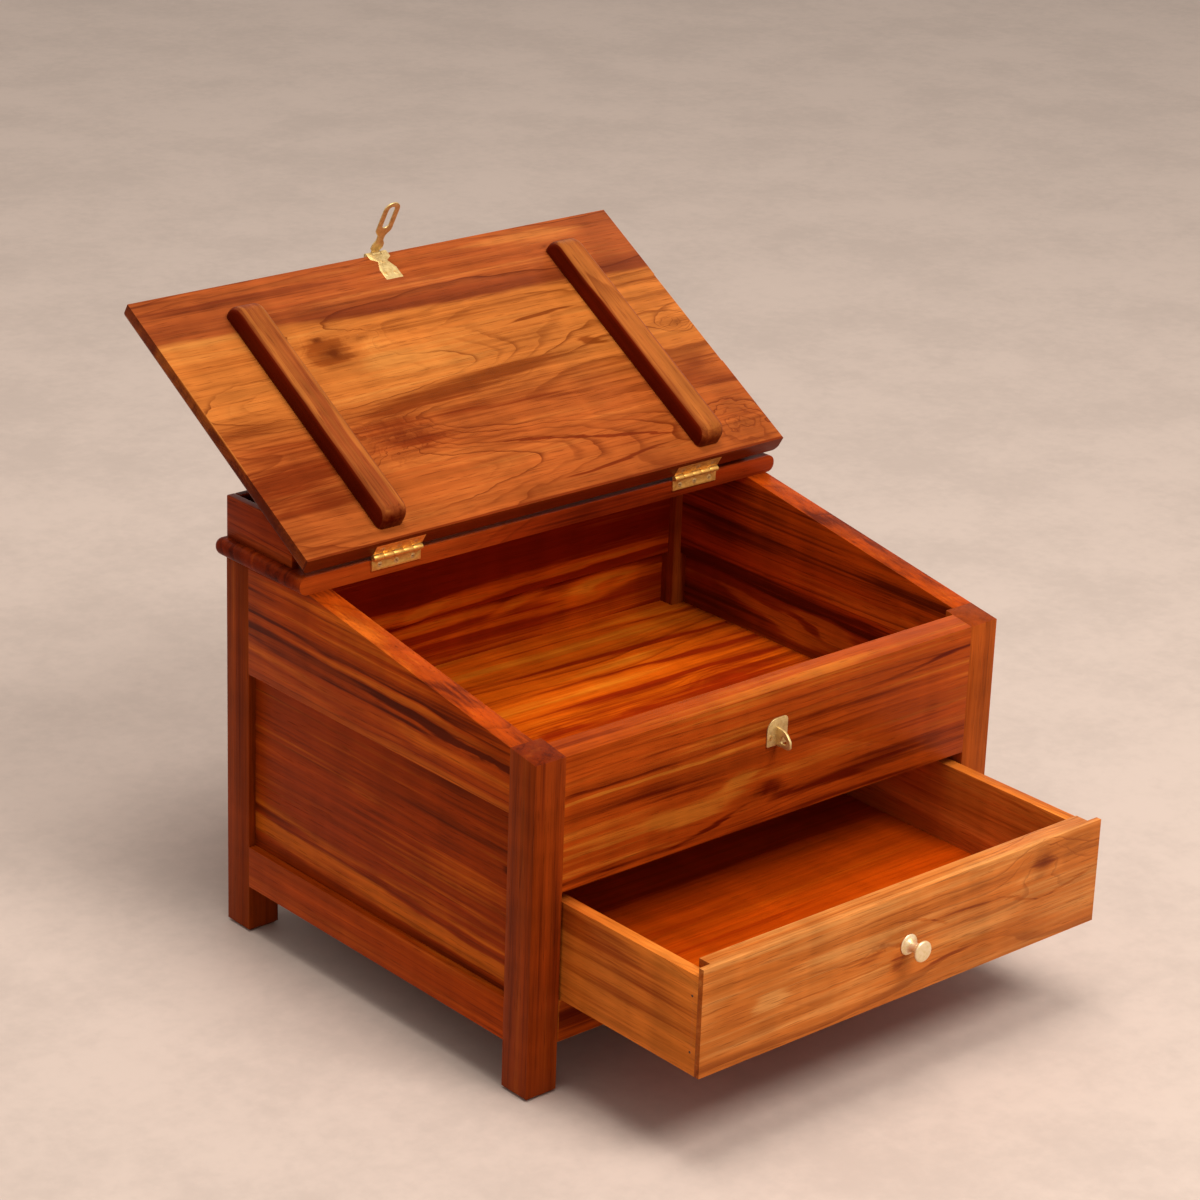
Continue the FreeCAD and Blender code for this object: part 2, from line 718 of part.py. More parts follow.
def make_hasp_flap():
    """The slotted flap, made about the hasp's axis, then set at its lean on the lid."""
    y = ("hasp_knuckle_radius - hasp_plate_thickness", "hasp_knuckle_radius")
    x = ("moving_gap / 2 - hasp_flap_knuckle / 2", "hasp_flap_knuckle / 2 - moving_gap / 2")
    knuckle = rod("flap_knuckle", "hasp_knuckle_radius", x, "0", "0")
    neck = block("flap_neck", ("0 - flap_neck_width / 2", "flap_neck_width / 2"), y,
                 ("0", "slot_middle - flap_slot_length / 2 - flap_rim / 2"))
    loop = rounded_strip("flap_loop", "flap_loop_width", "flap_slot_length + 2 * flap_rim", y, "slot_middle")
    slot = rounded_strip("flap_slot", "flap_slot_width", "flap_slot_length",
                         ("0", "2 * hasp_knuckle_radius"), "slot_middle")
    bore = rod("flap_bore", "pin_radius + pin_gap",
               ("0 - hasp_flap_knuckle", "hasp_flap_knuckle"), "0", "0")
    flap = cut("flap_cut", fuse("flap_joined", [knuckle, neck, loop]), [bore, slot])
    flap.Placement = tilt(number(FLAP_TILT))
    bind(flap, "Placement.Rotation.Angle", FLAP_TILT)
    put_at(flap, "0",
           "axis_y + hasp_reach * cos(lid_rest_angle) - hasp_deep * sin(lid_rest_angle)",
           "axis_z + hasp_reach * sin(lid_rest_angle) + hasp_deep * cos(lid_rest_angle)")
    keep("hasp_flap", flap)


# ---------------------------------------------------------------- lid

def lid_board(name, near_edge, far_edge):
    """One board of the lid, its outer face down at the lid's outer depth."""
    board = padded(name, "XY_Plane",
                   [("0 - lid_half", near_edge), ("lid_half", near_edge),
                    ("lid_half", far_edge), ("0 - lid_half", far_edge)],
                   "lid_thickness", middle=False)
    put_at(board, z="outer_deep")
    return board


def is_outer_side(point):
    return near(point.z, "0") and near(abs(point.x), "lid_half")


def make_lid_boards():
    """Three boards glued edge to edge, rounded at the outer face's sides and front."""
    rear = lid_board("lid_rear", "lid_start", "rear_seam")
    ease(rear, "lid_rear_round", "Fillet", "lid_round", is_outer_side)
    start = "0 - hinge_place - hinge_length / 2 - moving_gap"
    gain = block("hinge_gain", (start, "%s + hinge_length + 2 * moving_gap" % start),
                 ("lid_start", "knuckle_radius"), ("outer_deep", "lid_leaf_height"))
    gains = [gain, mirrored("hinge_gain_right", gain)]
    keep("lid_board_rear", hang_on_lid(cut("lid_rear_cut", rear, gains + all_lid_screws)))

    middle = lid_board("lid_middle", "rear_seam", "front_seam")
    ease(middle, "lid_middle_round", "Fillet", "lid_round", is_outer_side)
    keep("lid_board_middle", hang_on_lid(group("lid_middle_set", [middle])))

    front = lid_board("lid_front", "front_seam", "lid_end")
    ease(front, "lid_front_round", "Fillet", "lid_round",
         lambda point: is_outer_side(point) or (near(point.z, "0") and near(point.y, "lid_end")))
    keep("lid_board_front", hang_on_lid(cut("lid_front_cut", front, [hasp_plate_room] + hasp_screws)))


def make_battens():
    """The two cleats across the lid's underside, with rounded edges and ends."""
    for side in ("left", "right"):
        name = side + "_batten"
        stick = padded(name, "YZ_Plane",
                       [("batten_start", "under_deep"), ("batten_end", "under_deep"),
                        ("batten_end", "under_deep + batten_height"),
                        ("batten_start", "under_deep + batten_height")], "batten_width")
        top = "under_deep + batten_height"
        ease(stick, name + "_near", "Fillet", "batten_near_round",
             lambda point: near(point.z, top) and near(point.y, "batten_start"))
        ease(stick, name + "_far", "Fillet", "batten_far_round",
             lambda point: near(point.z, top) and near(point.y, "batten_end"))
        ease(stick, name + "_long", "Fillet", "batten_round",
             lambda point: near(point.z, top) and near(abs(point.x), "batten_width / 2"))
        moved = hang_on_lid(stick)
        bind(moved, "Placement.Base.x", side + "_batten_x")
        keep("lid_batten_" + side, moved)


# ---------------------------------------------------------------- drawer

def make_drawer():
    bottom_edge = "drawer_inner + drawer_groove"
    bottom = block("bottom_sheet", ("0 - (%s)" % bottom_edge, bottom_edge),
                   ("drawer_inside - drawer_groove", "drawer_end"),
                   ("drawer_bottom_low", "drawer_bottom_high"))
    keep("drawer_bottom", bottom)

    lip_y = "drawer_face + drawer_lip"
    half = [("drawer_half", "drawer_face"), ("drawer_half", lip_y),
            ("drawer_inner", lip_y), ("drawer_inner", "drawer_inside")]
    plan = half + [("0 - " + across, along) for across, along in reversed(half)]
    front = padded("front_stick", "XY_Plane", plan, "drawer_high - drawer_low", middle=False)
    put_at(front, z="drawer_low")
    front_tools = [bottom, knob_bolt] + drawer_nails
    keep("drawer_front", cut("drawer_front_cut", front, front_tools))

    side = block("side_stick", ("0 - drawer_half", "0 - drawer_inner"), (lip_y, "drawer_end"),
                 ("drawer_low", "drawer_side_top"))
    keep_pair("drawer_side", cut("drawer_side_cut", side, [bottom] + drawer_nails))

    back = block("back_stick", ("0 - drawer_inner", "drawer_inner"), ("drawer_back_in", "drawer_end"),
                 ("drawer_bottom_high", "drawer_side_top - drawer_back_drop"))
    keep("drawer_back", cut("drawer_back_cut", back, drawer_nails))
    keep("drawer_nails", group("nail_set", drawer_nails))


def make_nails():
    """Two nails through each drawer side into the front, and two into the back."""
    heights = ("drawer_low + nail_margin", "drawer_side_top - nail_margin")
    places = (("front", "(drawer_face + drawer_lip + drawer_inside) / 2"),
              ("back", "(drawer_back_in + drawer_end) / 2"))
    left = []
    for word, y in places:
        for index, z in enumerate(heights):
            left.append(rod("nail_%s_%d" % (word, index), "nail_radius",
                            ("0 - drawer_half", "nail_length - drawer_half"), y, z))
    return left + mirror_all(left)


def make_knob_bolt():
    """The bolt from inside the drawer's front into the knob."""
    reach = "drawer_front_thickness + knob_length / 2"
    shank = doc.addObject("Part::Cylinder", "bolt_shank")
    bind(shank, "Radius", "knob_screw_radius")
    bind(shank, "Height", reach)
    head = doc.addObject("Part::Cylinder", "bolt_head")
    bind(head, "Radius", "knob_screw_head_radius")
    bind(head, "Height", "knob_screw_head_height")
    put_at(head, z="0 - knob_screw_head_height")
    bolt = fuse("knob_bolt", [shank, head])
    bolt.Placement = tilt(QUARTER_TURN)
    put_at(bolt, "0", "drawer_inside", "knob_z")
    return bolt


def make_knob():
    """A turned knob: a thin rose, a waisted neck and a flat round head."""
    body = doc.addObject("PartDesign::Body", "knob_turning")
    flare = "knob_length - 2 * rose_thickness"
    points = [("0", "0"), ("rose_radius", "0"), ("rose_radius", "0 - rose_thickness / 2"),
              ("knob_neck_radius + rose_thickness", "0 - rose_thickness"),
              ("knob_neck_radius", "0 - 2 * rose_thickness"),
              ("knob_neck_radius", "0 - knob_length / 2"),
              ("knob_head_radius", "0 - (%s)" % flare),
              ("knob_head_radius", "0 - knob_length + rose_thickness / 2"),
              ("knob_head_radius - rose_thickness / 2", "0 - knob_length"),
              ("0", "0 - knob_length")]
    sketch = outline(body, "knob_outline", "XY_Plane", points)
    turning = body.newObject("PartDesign::Revolution", "knob_turned")
    turning.Profile = sketch
    turning.ReferenceAxis = (sketch, ["V_Axis"])
    turning.Angle = FULL_TURN
    doc.recompute()
    put_at(body, "0", "drawer_face", "knob_z")
    keep("drawer_knob", cut("knob_cut", body, [knob_bolt]))
    keep("knob_screw", knob_bolt)


# ---------------------------------------------------------------- making it all

case_screws = screw_row("case_screw", "axis_y + lid_start", "axis_z - hinge_screw_drop")
fixed_screws = case_screws + mirror_all(case_screws)
lid_screws = screw_row("lid_screw", "lid_start", "hinge_screw_drop")
all_lid_screws = lid_screws + mirror_all(lid_screws)
staple_screws = [screw("staple_screw_" + word, sign + "staple_screw_place",
                       "front_y - staple_thickness", "ear_z", QUARTER_TURN)
                 for word, sign in (("left", "0 - "), ("right", ""))]
tail_middle = "lid_end - hasp_plate_length + hasp_tail_length / 2"
hasp_screws = [screw("hasp_screw_" + word, x, y, "under_deep", 0)
               for word, x, y in (("left", "0 - hasp_waist / 2", tail_middle),
                                  ("right", "hasp_waist / 2", tail_middle),
                                  ("front", "0", "lid_end - 2 * hasp_shoulder"))]
drawer_nails = make_nails()
knob_bolt = make_knob_bolt()

make_posts()
make_side_rails()
make_side_panels()
make_cross_rails()
make_inside()
make_fixed_top()
make_gallery()
make_hinges()
make_staple()
hasp_plate_room = make_hasp_base()
make_hasp_flap()
make_lid_boards()
make_battens()
make_drawer()
make_knob()


def check_and_export():
    """Stop on any feature that failed, then write each sub-part to its own file."""
    doc.recompute()
    for thing in doc.Objects:
        if {"Invalid", "Error"} & set(thing.State):
            raise RuntimeError("%s failed: %s" % (thing.Label, thing.State))
    for thing in sub_parts:
        if thing.Shape.isNull() or not thing.Shape.isValid():
            raise RuntimeError(thing.Label + " has no valid shape")
    os.makedirs("parts", exist_ok=True)
    for thing in sub_parts:
        thing.Shape.exportStep(os.path.join("parts", thing.Label + ".step"))
        box = thing.Shape.BoundBox
        print("%-22s %2d solids  volume %10.1f  x %7.1f %7.1f  y %7.1f %7.1f  z %6.1f %6.1f" % (
            thing.Label, len(thing.Shape.Solids), thing.Shape.Volume,
            box.XMin, box.XMax, box.YMin, box.YMax, box.ZMin, box.ZMax))


check_and_export()
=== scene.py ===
"""Letter writing box with drawer: the finished look of its boards, brass and floor."""

import json
import math

import bmesh
import bpy
from bpy.props import FloatProperty, FloatVectorProperty, IntProperty, PointerProperty
from mathutils import Matrix, Vector


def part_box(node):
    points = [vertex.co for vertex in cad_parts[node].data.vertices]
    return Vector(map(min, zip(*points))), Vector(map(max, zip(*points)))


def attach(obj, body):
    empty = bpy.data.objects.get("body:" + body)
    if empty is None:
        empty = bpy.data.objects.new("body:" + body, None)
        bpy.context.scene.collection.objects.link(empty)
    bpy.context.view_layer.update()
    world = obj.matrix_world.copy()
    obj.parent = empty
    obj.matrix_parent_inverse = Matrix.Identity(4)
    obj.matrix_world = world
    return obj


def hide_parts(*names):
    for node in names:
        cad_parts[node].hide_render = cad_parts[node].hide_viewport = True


bl_info = {
    "name": "Letter writing box with drawer",
    "version": (1, 0, 0),
    "blender": (4, 5, 0),
    "location": "3D View > Sidebar > Writing Box",
    "description": "Dresses the letter writing box in varnished hardwood and brass",
    "category": "Object",
}

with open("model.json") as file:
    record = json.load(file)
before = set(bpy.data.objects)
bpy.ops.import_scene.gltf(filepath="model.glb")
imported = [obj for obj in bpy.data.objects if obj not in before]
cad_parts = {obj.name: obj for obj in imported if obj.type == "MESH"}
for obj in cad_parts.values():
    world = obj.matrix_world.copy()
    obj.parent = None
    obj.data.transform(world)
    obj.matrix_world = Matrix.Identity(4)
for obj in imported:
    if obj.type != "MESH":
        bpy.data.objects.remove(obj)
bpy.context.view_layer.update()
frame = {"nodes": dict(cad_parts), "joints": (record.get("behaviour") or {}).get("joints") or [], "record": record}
BODY_OF = {node: body for body, nodes in frame["record"]["behaviour"]["bodies"].items() for node in nodes}
LID_HINGE = next(joint for joint in frame["joints"] if joint["name"] == "lid_hinge")
LID_AXIS = Vector(LID_HINGE["pos_m"])
LID_TILT = math.radians(31)
QUARTER_TURN = math.radians(90)
# in metres: points this near to a plane lie in it, and points this near to each other are one
SAME_PLANE = 0.0001
SAME_POINT = 1e-6
# faces that meet at less than this are merged, and edges this close to a direction run along it
FLAT = math.radians(0.5)
PARALLEL = 0.999


# ---------------------------------------------------------------- settings

def linear(level):
    """One screen colour level, 0 to 255, as the amount of light it stands for."""
    level /= 255
    return level / 12.92 if level <= 0.04045 else ((level + 0.055) / 1.055) ** 2.4


def shade(red, green, blue):
    """A colour for the shader from its screen levels."""
    return tuple(linear(level) for level in (red, green, blue))


def colour(name, description, levels):
    """A colour setting, from screen levels of 0 to 255."""
    return FloatVectorProperty(name=name, description=description, default=shade(*levels),
                               subtype="COLOR", size=3, min=0, max=1)


def length(name, description, metres, least=0.0):
    """A size setting in metres."""
    return FloatProperty(name=name, description=description, default=metres, min=least, unit="LENGTH",
                         precision=4)


class PostWood(bpy.types.PropertyGroup):
    """Colours of the four posts."""
    dark: colour("Dark", "Late wood and pores of the posts", (92, 28, 7))
    main: colour("Main", "Most of the posts' surface", (138, 52, 11))
    light: colour("Light", "Early wood of the posts", (162, 74, 22))
    pitch: length("Ring pitch", "Distance between growth rings in the posts", 0.0045, 0.0005)


class RailWood(bpy.types.PropertyGroup):
    """Colours of the rails between the posts."""
    dark: colour("Dark", "Dark streaks of the rails", (92, 26, 4))
    main: colour("Main", "Most of the rails' surface", (164, 60, 7))
    light: colour("Light", "Orange streaks of the rails", (198, 92, 20))
    pitch: length("Ring pitch", "Distance between growth rings in the rails", 0.006, 0.0005)


class PanelWood(bpy.types.PropertyGroup):
    """Colours of the side and back panels."""
    dark: colour("Dark", "Dark streaks of the panels", (94, 30, 6))
    main: colour("Main", "Most of the panels' surface", (146, 50, 7))
    light: colour("Light", "Light streaks of the panels", (190, 90, 19))
    pitch: length("Ring pitch", "Distance between growth rings in the panels", 0.007, 0.0005)


class FrontWood(bpy.types.PropertyGroup):
    """Colours of the board and rail across the front."""
    dark: colour("Dark", "Dark sweeping streaks of the front", (92, 20, 2))
    main: colour("Main", "Most of the front's surface", (162, 64, 12))
    light: colour("Light", "Golden streaks of the front", (186, 102, 30))
    pitch: length("Ring pitch", "Distance between growth rings in the front", 0.008, 0.0005)


class InsideWood(bpy.types.PropertyGroup):
    """Colours of the letter compartment's floor, the back's inner boards and the drawer's supports."""
    dark: colour("Dark", "Dark streaks inside", (136, 34, 3))
    main: colour("Main", "Most of the inside surface", (200, 82, 7))
    light: colour("Light", "Orange streaks inside", (212, 112, 22))
    pitch: length("Ring pitch", "Distance between growth rings inside", 0.009, 0.0005)


class TopWood(bpy.types.PropertyGroup):
    """Colours of the fixed top and the gallery on it."""
    dark: colour("Dark", "Dark streaks of the fixed top", (82, 18, 4))
    main: colour("Main", "Most of the fixed top's surface", (138, 44, 9))
    light: colour("Light", "Light streaks of the fixed top", (168, 66, 18))
    pitch: length("Ring pitch", "Distance between growth rings in the fixed top", 0.006, 0.0005)


class LidWood(bpy.types.PropertyGroup):
    """Colours of the three boards of the lid."""
    dark: colour("Dark", "Dark lines of the golden boards", (126, 58, 16))
    main: colour("Main", "Most of the golden boards' surface", (176, 98, 39))
    light: colour("Light", "Lightest part of the golden boards", (190, 117, 52))
    red_dark: colour("Red side, dark", "Dark lines near the hinges", (112, 40, 10))
    red_main: colour("Red side, main", "Most of the surface near the hinges", (157, 76, 29))
    red_light: colour("Red side, light", "Lightest part near the hinges", (178, 96, 40))
    edge_dark: colour("Edge band, dark", "Dark streaks of the band along the front edge", (104, 40, 16))
    edge_main: colour("Edge band, main", "Most of the band along the front edge", (152, 72, 30))
    edge_light: colour("Edge band, light", "Lightest part of the band along the front edge", (182, 102, 46))
    pitch: length("Ring pitch", "Distance between growth rings in the lid", 0.0035, 0.0005)


class BattenWood(bpy.types.PropertyGroup):
    """Colours of the two battens under the lid."""
    dark: colour("Dark", "Dark rings of the battens", (92, 21, 3))
    main: colour("Main", "Most of the battens' surface", (126, 57, 24))
    light: colour("Light", "Lightest part of the battens", (158, 87, 36))
    pitch: length("Ring pitch", "Distance between growth rings in the battens", 0.0035, 0.0005)


class DrawerWood(bpy.types.PropertyGroup):
    """Colours of the drawer's front and box."""
    dark: colour("Dark", "Dark rings of the drawer front", (134, 58, 22))
    main: colour("Main", "Most of the drawer front's surface", (190, 104, 41))
    light: colour("Light", "Lightest part of the drawer front", (212, 138, 71))
    box_dark: colour("Box, dark", "Dark rings of the drawer's sides and back", (150, 62, 14))
    box_main: colour("Box, main", "Most of the drawer's sides and back", (202, 108, 36))
    box_light: colour("Box, light", "Lightest part of the drawer's sides and back", (220, 130, 52))
    floor_dark: colour("Floor, dark", "Dark rings of the drawer's floor", (144, 40, 1))
    floor_main: colour("Floor, main", "Most of the drawer's floor", (178, 62, 3))
    floor_light: colour("Floor, light", "Lightest part of the drawer's floor", (190, 76, 6))
    pitch: length("Ring pitch", "Distance between growth rings in the drawer", 0.005, 0.0005)


class BrassFinish(bpy.types.PropertyGroup):
    """Colours and small sizes of the metal fittings."""
    bright: colour("Bright brass", "Rubbed brass of the hasp and staple", (224, 196, 134))
    dull: colour("Dull brass", "Tarnish of the hasp and staple", (186, 152, 92))
    gold: colour("Golden brass", "Rubbed brass of the hinges", (240, 188, 96))
    gold_dull: colour("Dull golden brass", "Tarnish of the hinges", (206, 148, 66))
    pale: colour("Pale brass", "Polished brass of the knob", (244, 220, 182))
    nail: colour("Nail", "Dark steel of the drawer's nails", (70, 60, 54))
    ease: length("Edge ease", "Rounding of the brass edges", 0.00025)
    slot_width: length("Screw slot width", "Width of the slot in a screw head", 0.0006)
    screw_rise: length("Screw head rise", "How far a screw head stands proud of the brass", 0.00025)


class BoxEdges(bpy.types.PropertyGroup):
    """How far the sharp edges of the boards are rounded off; the rounded faces carry wear and a painted highlight.
    """
    ease: length("Edge ease", "Rounding of the boards' sharp edges", 0.0011)
    steps: IntProperty(name="Steps", description="Faces across a rounded edge", default=3, min=1, max=6)


class RoomStage(bpy.types.PropertyGroup):
    """The floor and the light."""
    floor: colour("Floor", "Colour of the pale floor", (203, 183, 170))
    sky: colour("Surround", "Colour seen behind the floor", (236, 226, 218))
    key_power: FloatProperty(name="Window lamp", description="Power of the large lamp overhead",
                             default=96, min=0, subtype="POWER")
    fill_power: FloatProperty(name="Front lamp", description="Power of the soft lamp in front",
                              default=90, min=0, subtype="POWER")
    surround: FloatProperty(name="Surround light", description="Strength of the light from all round",
                            default=0.43, min=0)


class WritingBox(bpy.types.PropertyGroup):
    """All the settings of the writing box."""
    posts: PointerProperty(type=PostWood)
    rails: PointerProperty(type=RailWood)
    panels: PointerProperty(type=PanelWood)
    front: PointerProperty(type=FrontWood)
    inside: PointerProperty(type=InsideWood)
    top: PointerProperty(type=TopWood)
    lid: PointerProperty(type=LidWood)
    battens: PointerProperty(type=BattenWood)
    drawer: PointerProperty(type=DrawerWood)
    brass: PointerProperty(type=BrassFinish)
    edges: PointerProperty(type=BoxEdges)
    room: PointerProperty(type=RoomStage)


# ---------------------------------------------------------------- node wiring

class Wiring:
    """Adds nodes to one tree and joins them."""

    def __init__(self, tree):
        self.tree = tree

    def node(self, kind, **settings):
        """A new node of the kind, with its settings set."""
        made = self.tree.nodes.new(kind)
        for name, value in settings.items():
            setattr(made, name, value)
        return made

    def feed(self, socket, value):
        """Join another node's socket to this one, or give it a plain value, unless there is none."""
        if isinstance(value, bpy.types.NodeSocket):
            self.tree.links.new(value, socket)
        elif value is not None:
            socket.default_value = value

    def math(self, operation, first, second=None, third=None, clamp=False):
        made = self.node("ShaderNodeMath", operation=operation, use_clamp=clamp)
        for socket, value in zip(made.inputs, (first, second, third)):
            self.feed(socket, value)
        return made.outputs[0]

    def vector(self, operation, first, second=None, third=None, result="Vector"):
        made = self.node("ShaderNodeVectorMath", operation=operation)
        for socket, value in zip(made.inputs, (first, second, third)):
            self.feed(socket, value)
        return made.outputs[result]

    def scaled(self, vector, factor):
        made = self.node("ShaderNodeVectorMath", operation="SCALE")
        self.feed(made.inputs[0], vector)
        self.feed(made.inputs["Scale"], factor)
        return made.outputs[0]

    def noise(self, place, stretch, detail=2.0, rough=0.5, shift=0.0, result="Fac"):
        """Soft noise in the board's frame; stretch is how many times it changes per metre each way."""
        place = self.vector("MULTIPLY_ADD", place, stretch, (shift, 1.3 * shift, 0.7 * shift))
        made = self.node("ShaderNodeTexNoise", noise_dimensions="3D")
        self.feed(made.inputs["Vector"], place)
        self.feed(made.inputs["Scale"], 1.0)
        self.feed(made.inputs["Detail"], detail)
        self.feed(made.inputs["Roughness"], rough)
        return made.outputs[result]

    def line_noise(self, along, detail=1.0, rough=0.5):
        """Soft noise that changes along one number only."""
        made = self.node("ShaderNodeTexNoise", noise_dimensions="1D")
        self.feed(made.inputs["W"], along)
        self.feed(made.inputs["Scale"], 1.0)
        self.feed(made.inputs["Detail"], detail)
        self.feed(made.inputs["Roughness"], rough)
        return made.outputs["Fac"]

    def middled(self, noise):
        """The noise, which lies about a half, made to lie about zero."""
        return self.math("SUBTRACT", noise, 0.5)

    def middled_vector(self, noise):
        return self.vector("SUBTRACT", noise, (0.5, 0.5, 0.5))

    def parts(self, vector):
        """The three numbers of a vector."""
        made = self.node("ShaderNodeSeparateXYZ")
        self.feed(made.inputs[0], vector)
        return made.outputs

    def span(self, value, low, high, to_low=0.0, to_high=1.0):
        """The value's way from low to high, eased at both ends, as a way between two other numbers."""
        made = self.node("ShaderNodeMapRange", interpolation_type="SMOOTHSTEP")
        for socket, number in zip(made.inputs, (value, low, high, to_low, to_high)):
            self.feed(socket, number)
        return made.outputs[0]

    def mix(self, factor, first, second, blend="MIX"):
        """Two colours mixed; each is a socket or a plain colour."""
        made = self.node("ShaderNodeMix", data_type="RGBA", blend_type=blend)
        self.feed(made.inputs[0], factor)
        for socket, value in zip((made.inputs[6], made.inputs[7]), (first, second)):
            self.feed(socket, value if isinstance(value, bpy.types.NodeSocket) else (*value[:3], 1))
        return made.outputs[2]

    def ramp(self, factor, stops):
        """A colour ramp with stops of (place, colour)."""
        made = self.node("ShaderNodeValToRGB")
        band = made.color_ramp
        while len(band.elements) < len(stops):
            band.elements.new(0.5)
        for element, (place, value) in zip(band.elements, stops):
            element.position = place
            element.color = (*value[:3], 1)
        self.feed(made.inputs[0], factor)
        return made.outputs[0]

    def bump(self, shader, height, strength, distance):
        """Let the height shape the light on the shader."""
        made = self.node("ShaderNodeBump")
        made.inputs["Strength"].default_value = strength
        made.inputs["Distance"].default_value = distance
        self.feed(made.inputs["Height"], height)
        self.feed(shader.inputs["Normal"], made.outputs[0])


GRAIN_NUMBERS = {
    "Pith across": 0.05, "Pith below": -0.06, "Taper": 0.0, "Lift": 0.0, "Core": 0.0, "Tone": 0.0,
    "Pitch": 0.006, "Wander": 0.02, "Lines": 0.6, "Band": 0.03, "Contrast": 1.0, "Streaks": 0.5,
    "Streak width": 0.03, "Fibre": 0.26, "Seed": 0.0,
}


def grain_group():
    """The node group that draws a sawn board: rings round a pith, streaks, fibre and pores."""
    if "Board grain" in bpy.data.node_groups:
        return bpy.data.node_groups["Board grain"]
    tree = bpy.data.node_groups.new("Board grain", "ShaderNodeTree")
    sockets = tree.interface
    sockets.new_socket("Place", in_out="INPUT", socket_type="NodeSocketVector")
    for name, value in GRAIN_NUMBERS.items():
        sockets.new_socket(name, in_out="INPUT", socket_type="NodeSocketFloat").default_value = value
    for name in ("Dark", "Main", "Light"):
        sockets.new_socket(name, in_out="INPUT", socket_type="NodeSocketColor")
    sockets.new_socket("Colour", in_out="OUTPUT", socket_type="NodeSocketColor")
    sockets.new_socket("Height", in_out="OUTPUT", socket_type="NodeSocketFloat")
    sockets.new_socket("Roughness", in_out="OUTPUT", socket_type="NodeSocketFloat")
    wire = Wiring(tree)
    given = wire.node("NodeGroupInput").outputs
    seed = given["Seed"]
    sown = wire.vector("ADD", given["Place"], wire.scaled((0.037, 0.053, 0.071), seed))

    # rings: the distance from a pith that wanders along the board
    slow = wire.noise(sown, (2.6, 4, 4), detail=1, result="Color")
    slow = wire.vector("MULTIPLY", wire.middled_vector(slow), (0, 2, 2))
    along, across, below = wire.parts(wire.vector("ADD", given["Place"], wire.scaled(slow, given["Wander"])))
    across = wire.math("SUBTRACT", across, given["Pith across"])
    below = wire.math("SUBTRACT", below, given["Pith below"])
    radius = wire.math("SQRT", wire.math("MULTIPLY_ADD", across, across, wire.math("MULTIPLY", below, below)))
    wobble = wire.middled(wire.noise(sown, (13, 38, 38), detail=2))
    ring = wire.math("MULTIPLY_ADD", wobble, 0.0042, radius)
    ring = wire.math("MULTIPLY_ADD", along, given["Taper"], ring)
    ring = wire.math("ADD", ring, given["Lift"])

    # thin dark lines where one year's growth ends, some strong, some faint
    turns = wire.math("DIVIDE", ring, given["Pitch"])
    turns_sown = wire.math("MULTIPLY_ADD", seed, 7.3, turns)
    uneven = wire.line_noise(wire.math("MULTIPLY", turns_sown, 0.31), detail=2)
    phase = wire.math("FRACT", wire.math("MULTIPLY_ADD", uneven, 2.4, turns))
    rise = wire.math("POWER", wire.span(phase, 0.40, 0.96), 2.8)
    fall = wire.span(phase, 0.955, 1.0, 1, 0)
    choose = wire.span(wire.line_noise(wire.math("MULTIPLY_ADD", turns_sown, 0.57, 31)), 0.40, 0.66, 0.12, 1)
    fade = wire.span(wire.noise(sown, (5, 26, 26), detail=1, shift=3), 0.3, 0.6, 0.25, 1)
    lines = wire.math("MULTIPLY", wire.math("MULTIPLY", rise, fall), wire.math("MULTIPLY", choose, fade))
    lines = wire.math("MULTIPLY", lines, given["Lines"])

    # broad bands of colour that follow the rings, and clouds that don't
    band = wire.line_noise(wire.math("MULTIPLY_ADD", seed, 1.7, wire.math("DIVIDE", ring, given["Band"])),
                           detail=3, rough=0.55)
    cloud = wire.middled(wire.noise(sown, (5, 17, 17), detail=3, shift=5))
    silk = wire.middled(wire.noise(sown, (2.2, 95, 95), detail=4, rough=0.6, shift=8))
    thread = wire.middled(wire.noise(sown, (4, 310, 310), detail=3, rough=0.6, shift=15))
    tone = wire.math("MULTIPLY_ADD", wire.middled(band), given["Contrast"], 0.5)
    for part, share in ((cloud, 0.45), (silk, 0.42), (thread, 0.38)):
        tone = wire.math("MULTIPLY_ADD", part, share, tone)
    tone = wire.math("ADD", tone, given["Tone"])
    base = wire.mix(wire.span(tone, 0.26, 0.50), given["Dark"], given["Main"])
    base = wire.mix(wire.span(tone, 0.50, 0.74), base, given["Light"])

    # dark streaks that follow the rings here and there
    streak = wire.math("MULTIPLY_ADD", seed, 3.1, wire.math("DIVIDE", ring, given["Streak width"]))
    streak = wire.line_noise(streak, detail=4, rough=0.6)
    here = wire.span(wire.noise(sown, (2.2, 7, 7), detail=2, shift=9), 0.36, 0.58)
    here = wire.math("MULTIPLY", here, given["Streaks"])
    streak = wire.math("MULTIPLY", wire.span(streak, 0.53, 0.66), here)
    deep = wire.mix(1.0, given["Dark"], (0.5, 0.42, 0.40), "MULTIPLY")

    # fibre, faint cross figure and short dark pores
    fibre = wire.noise(sown, (9, 430, 430), detail=4, rough=0.62)
    strand = wire.noise(sown, (5, 120, 120), detail=3, rough=0.6, shift=2)
    figure = wire.noise(sown, (34, 6, 6), detail=2, shift=12)
    glow = wire.math("MULTIPLY_ADD", strand, 2.2, wire.math("MULTIPLY_ADD", figure, 1.3, fibre))
    glow = wire.math("SUBTRACT", glow, 2.25)
    glow = wire.math("MULTIPLY_ADD", glow, wire.math("MULTIPLY", given["Fibre"], 1.6), 1.0)
    pores = wire.span(wire.noise(sown, (42, 1250, 1250), detail=1, shift=4), 0.60, 0.72)

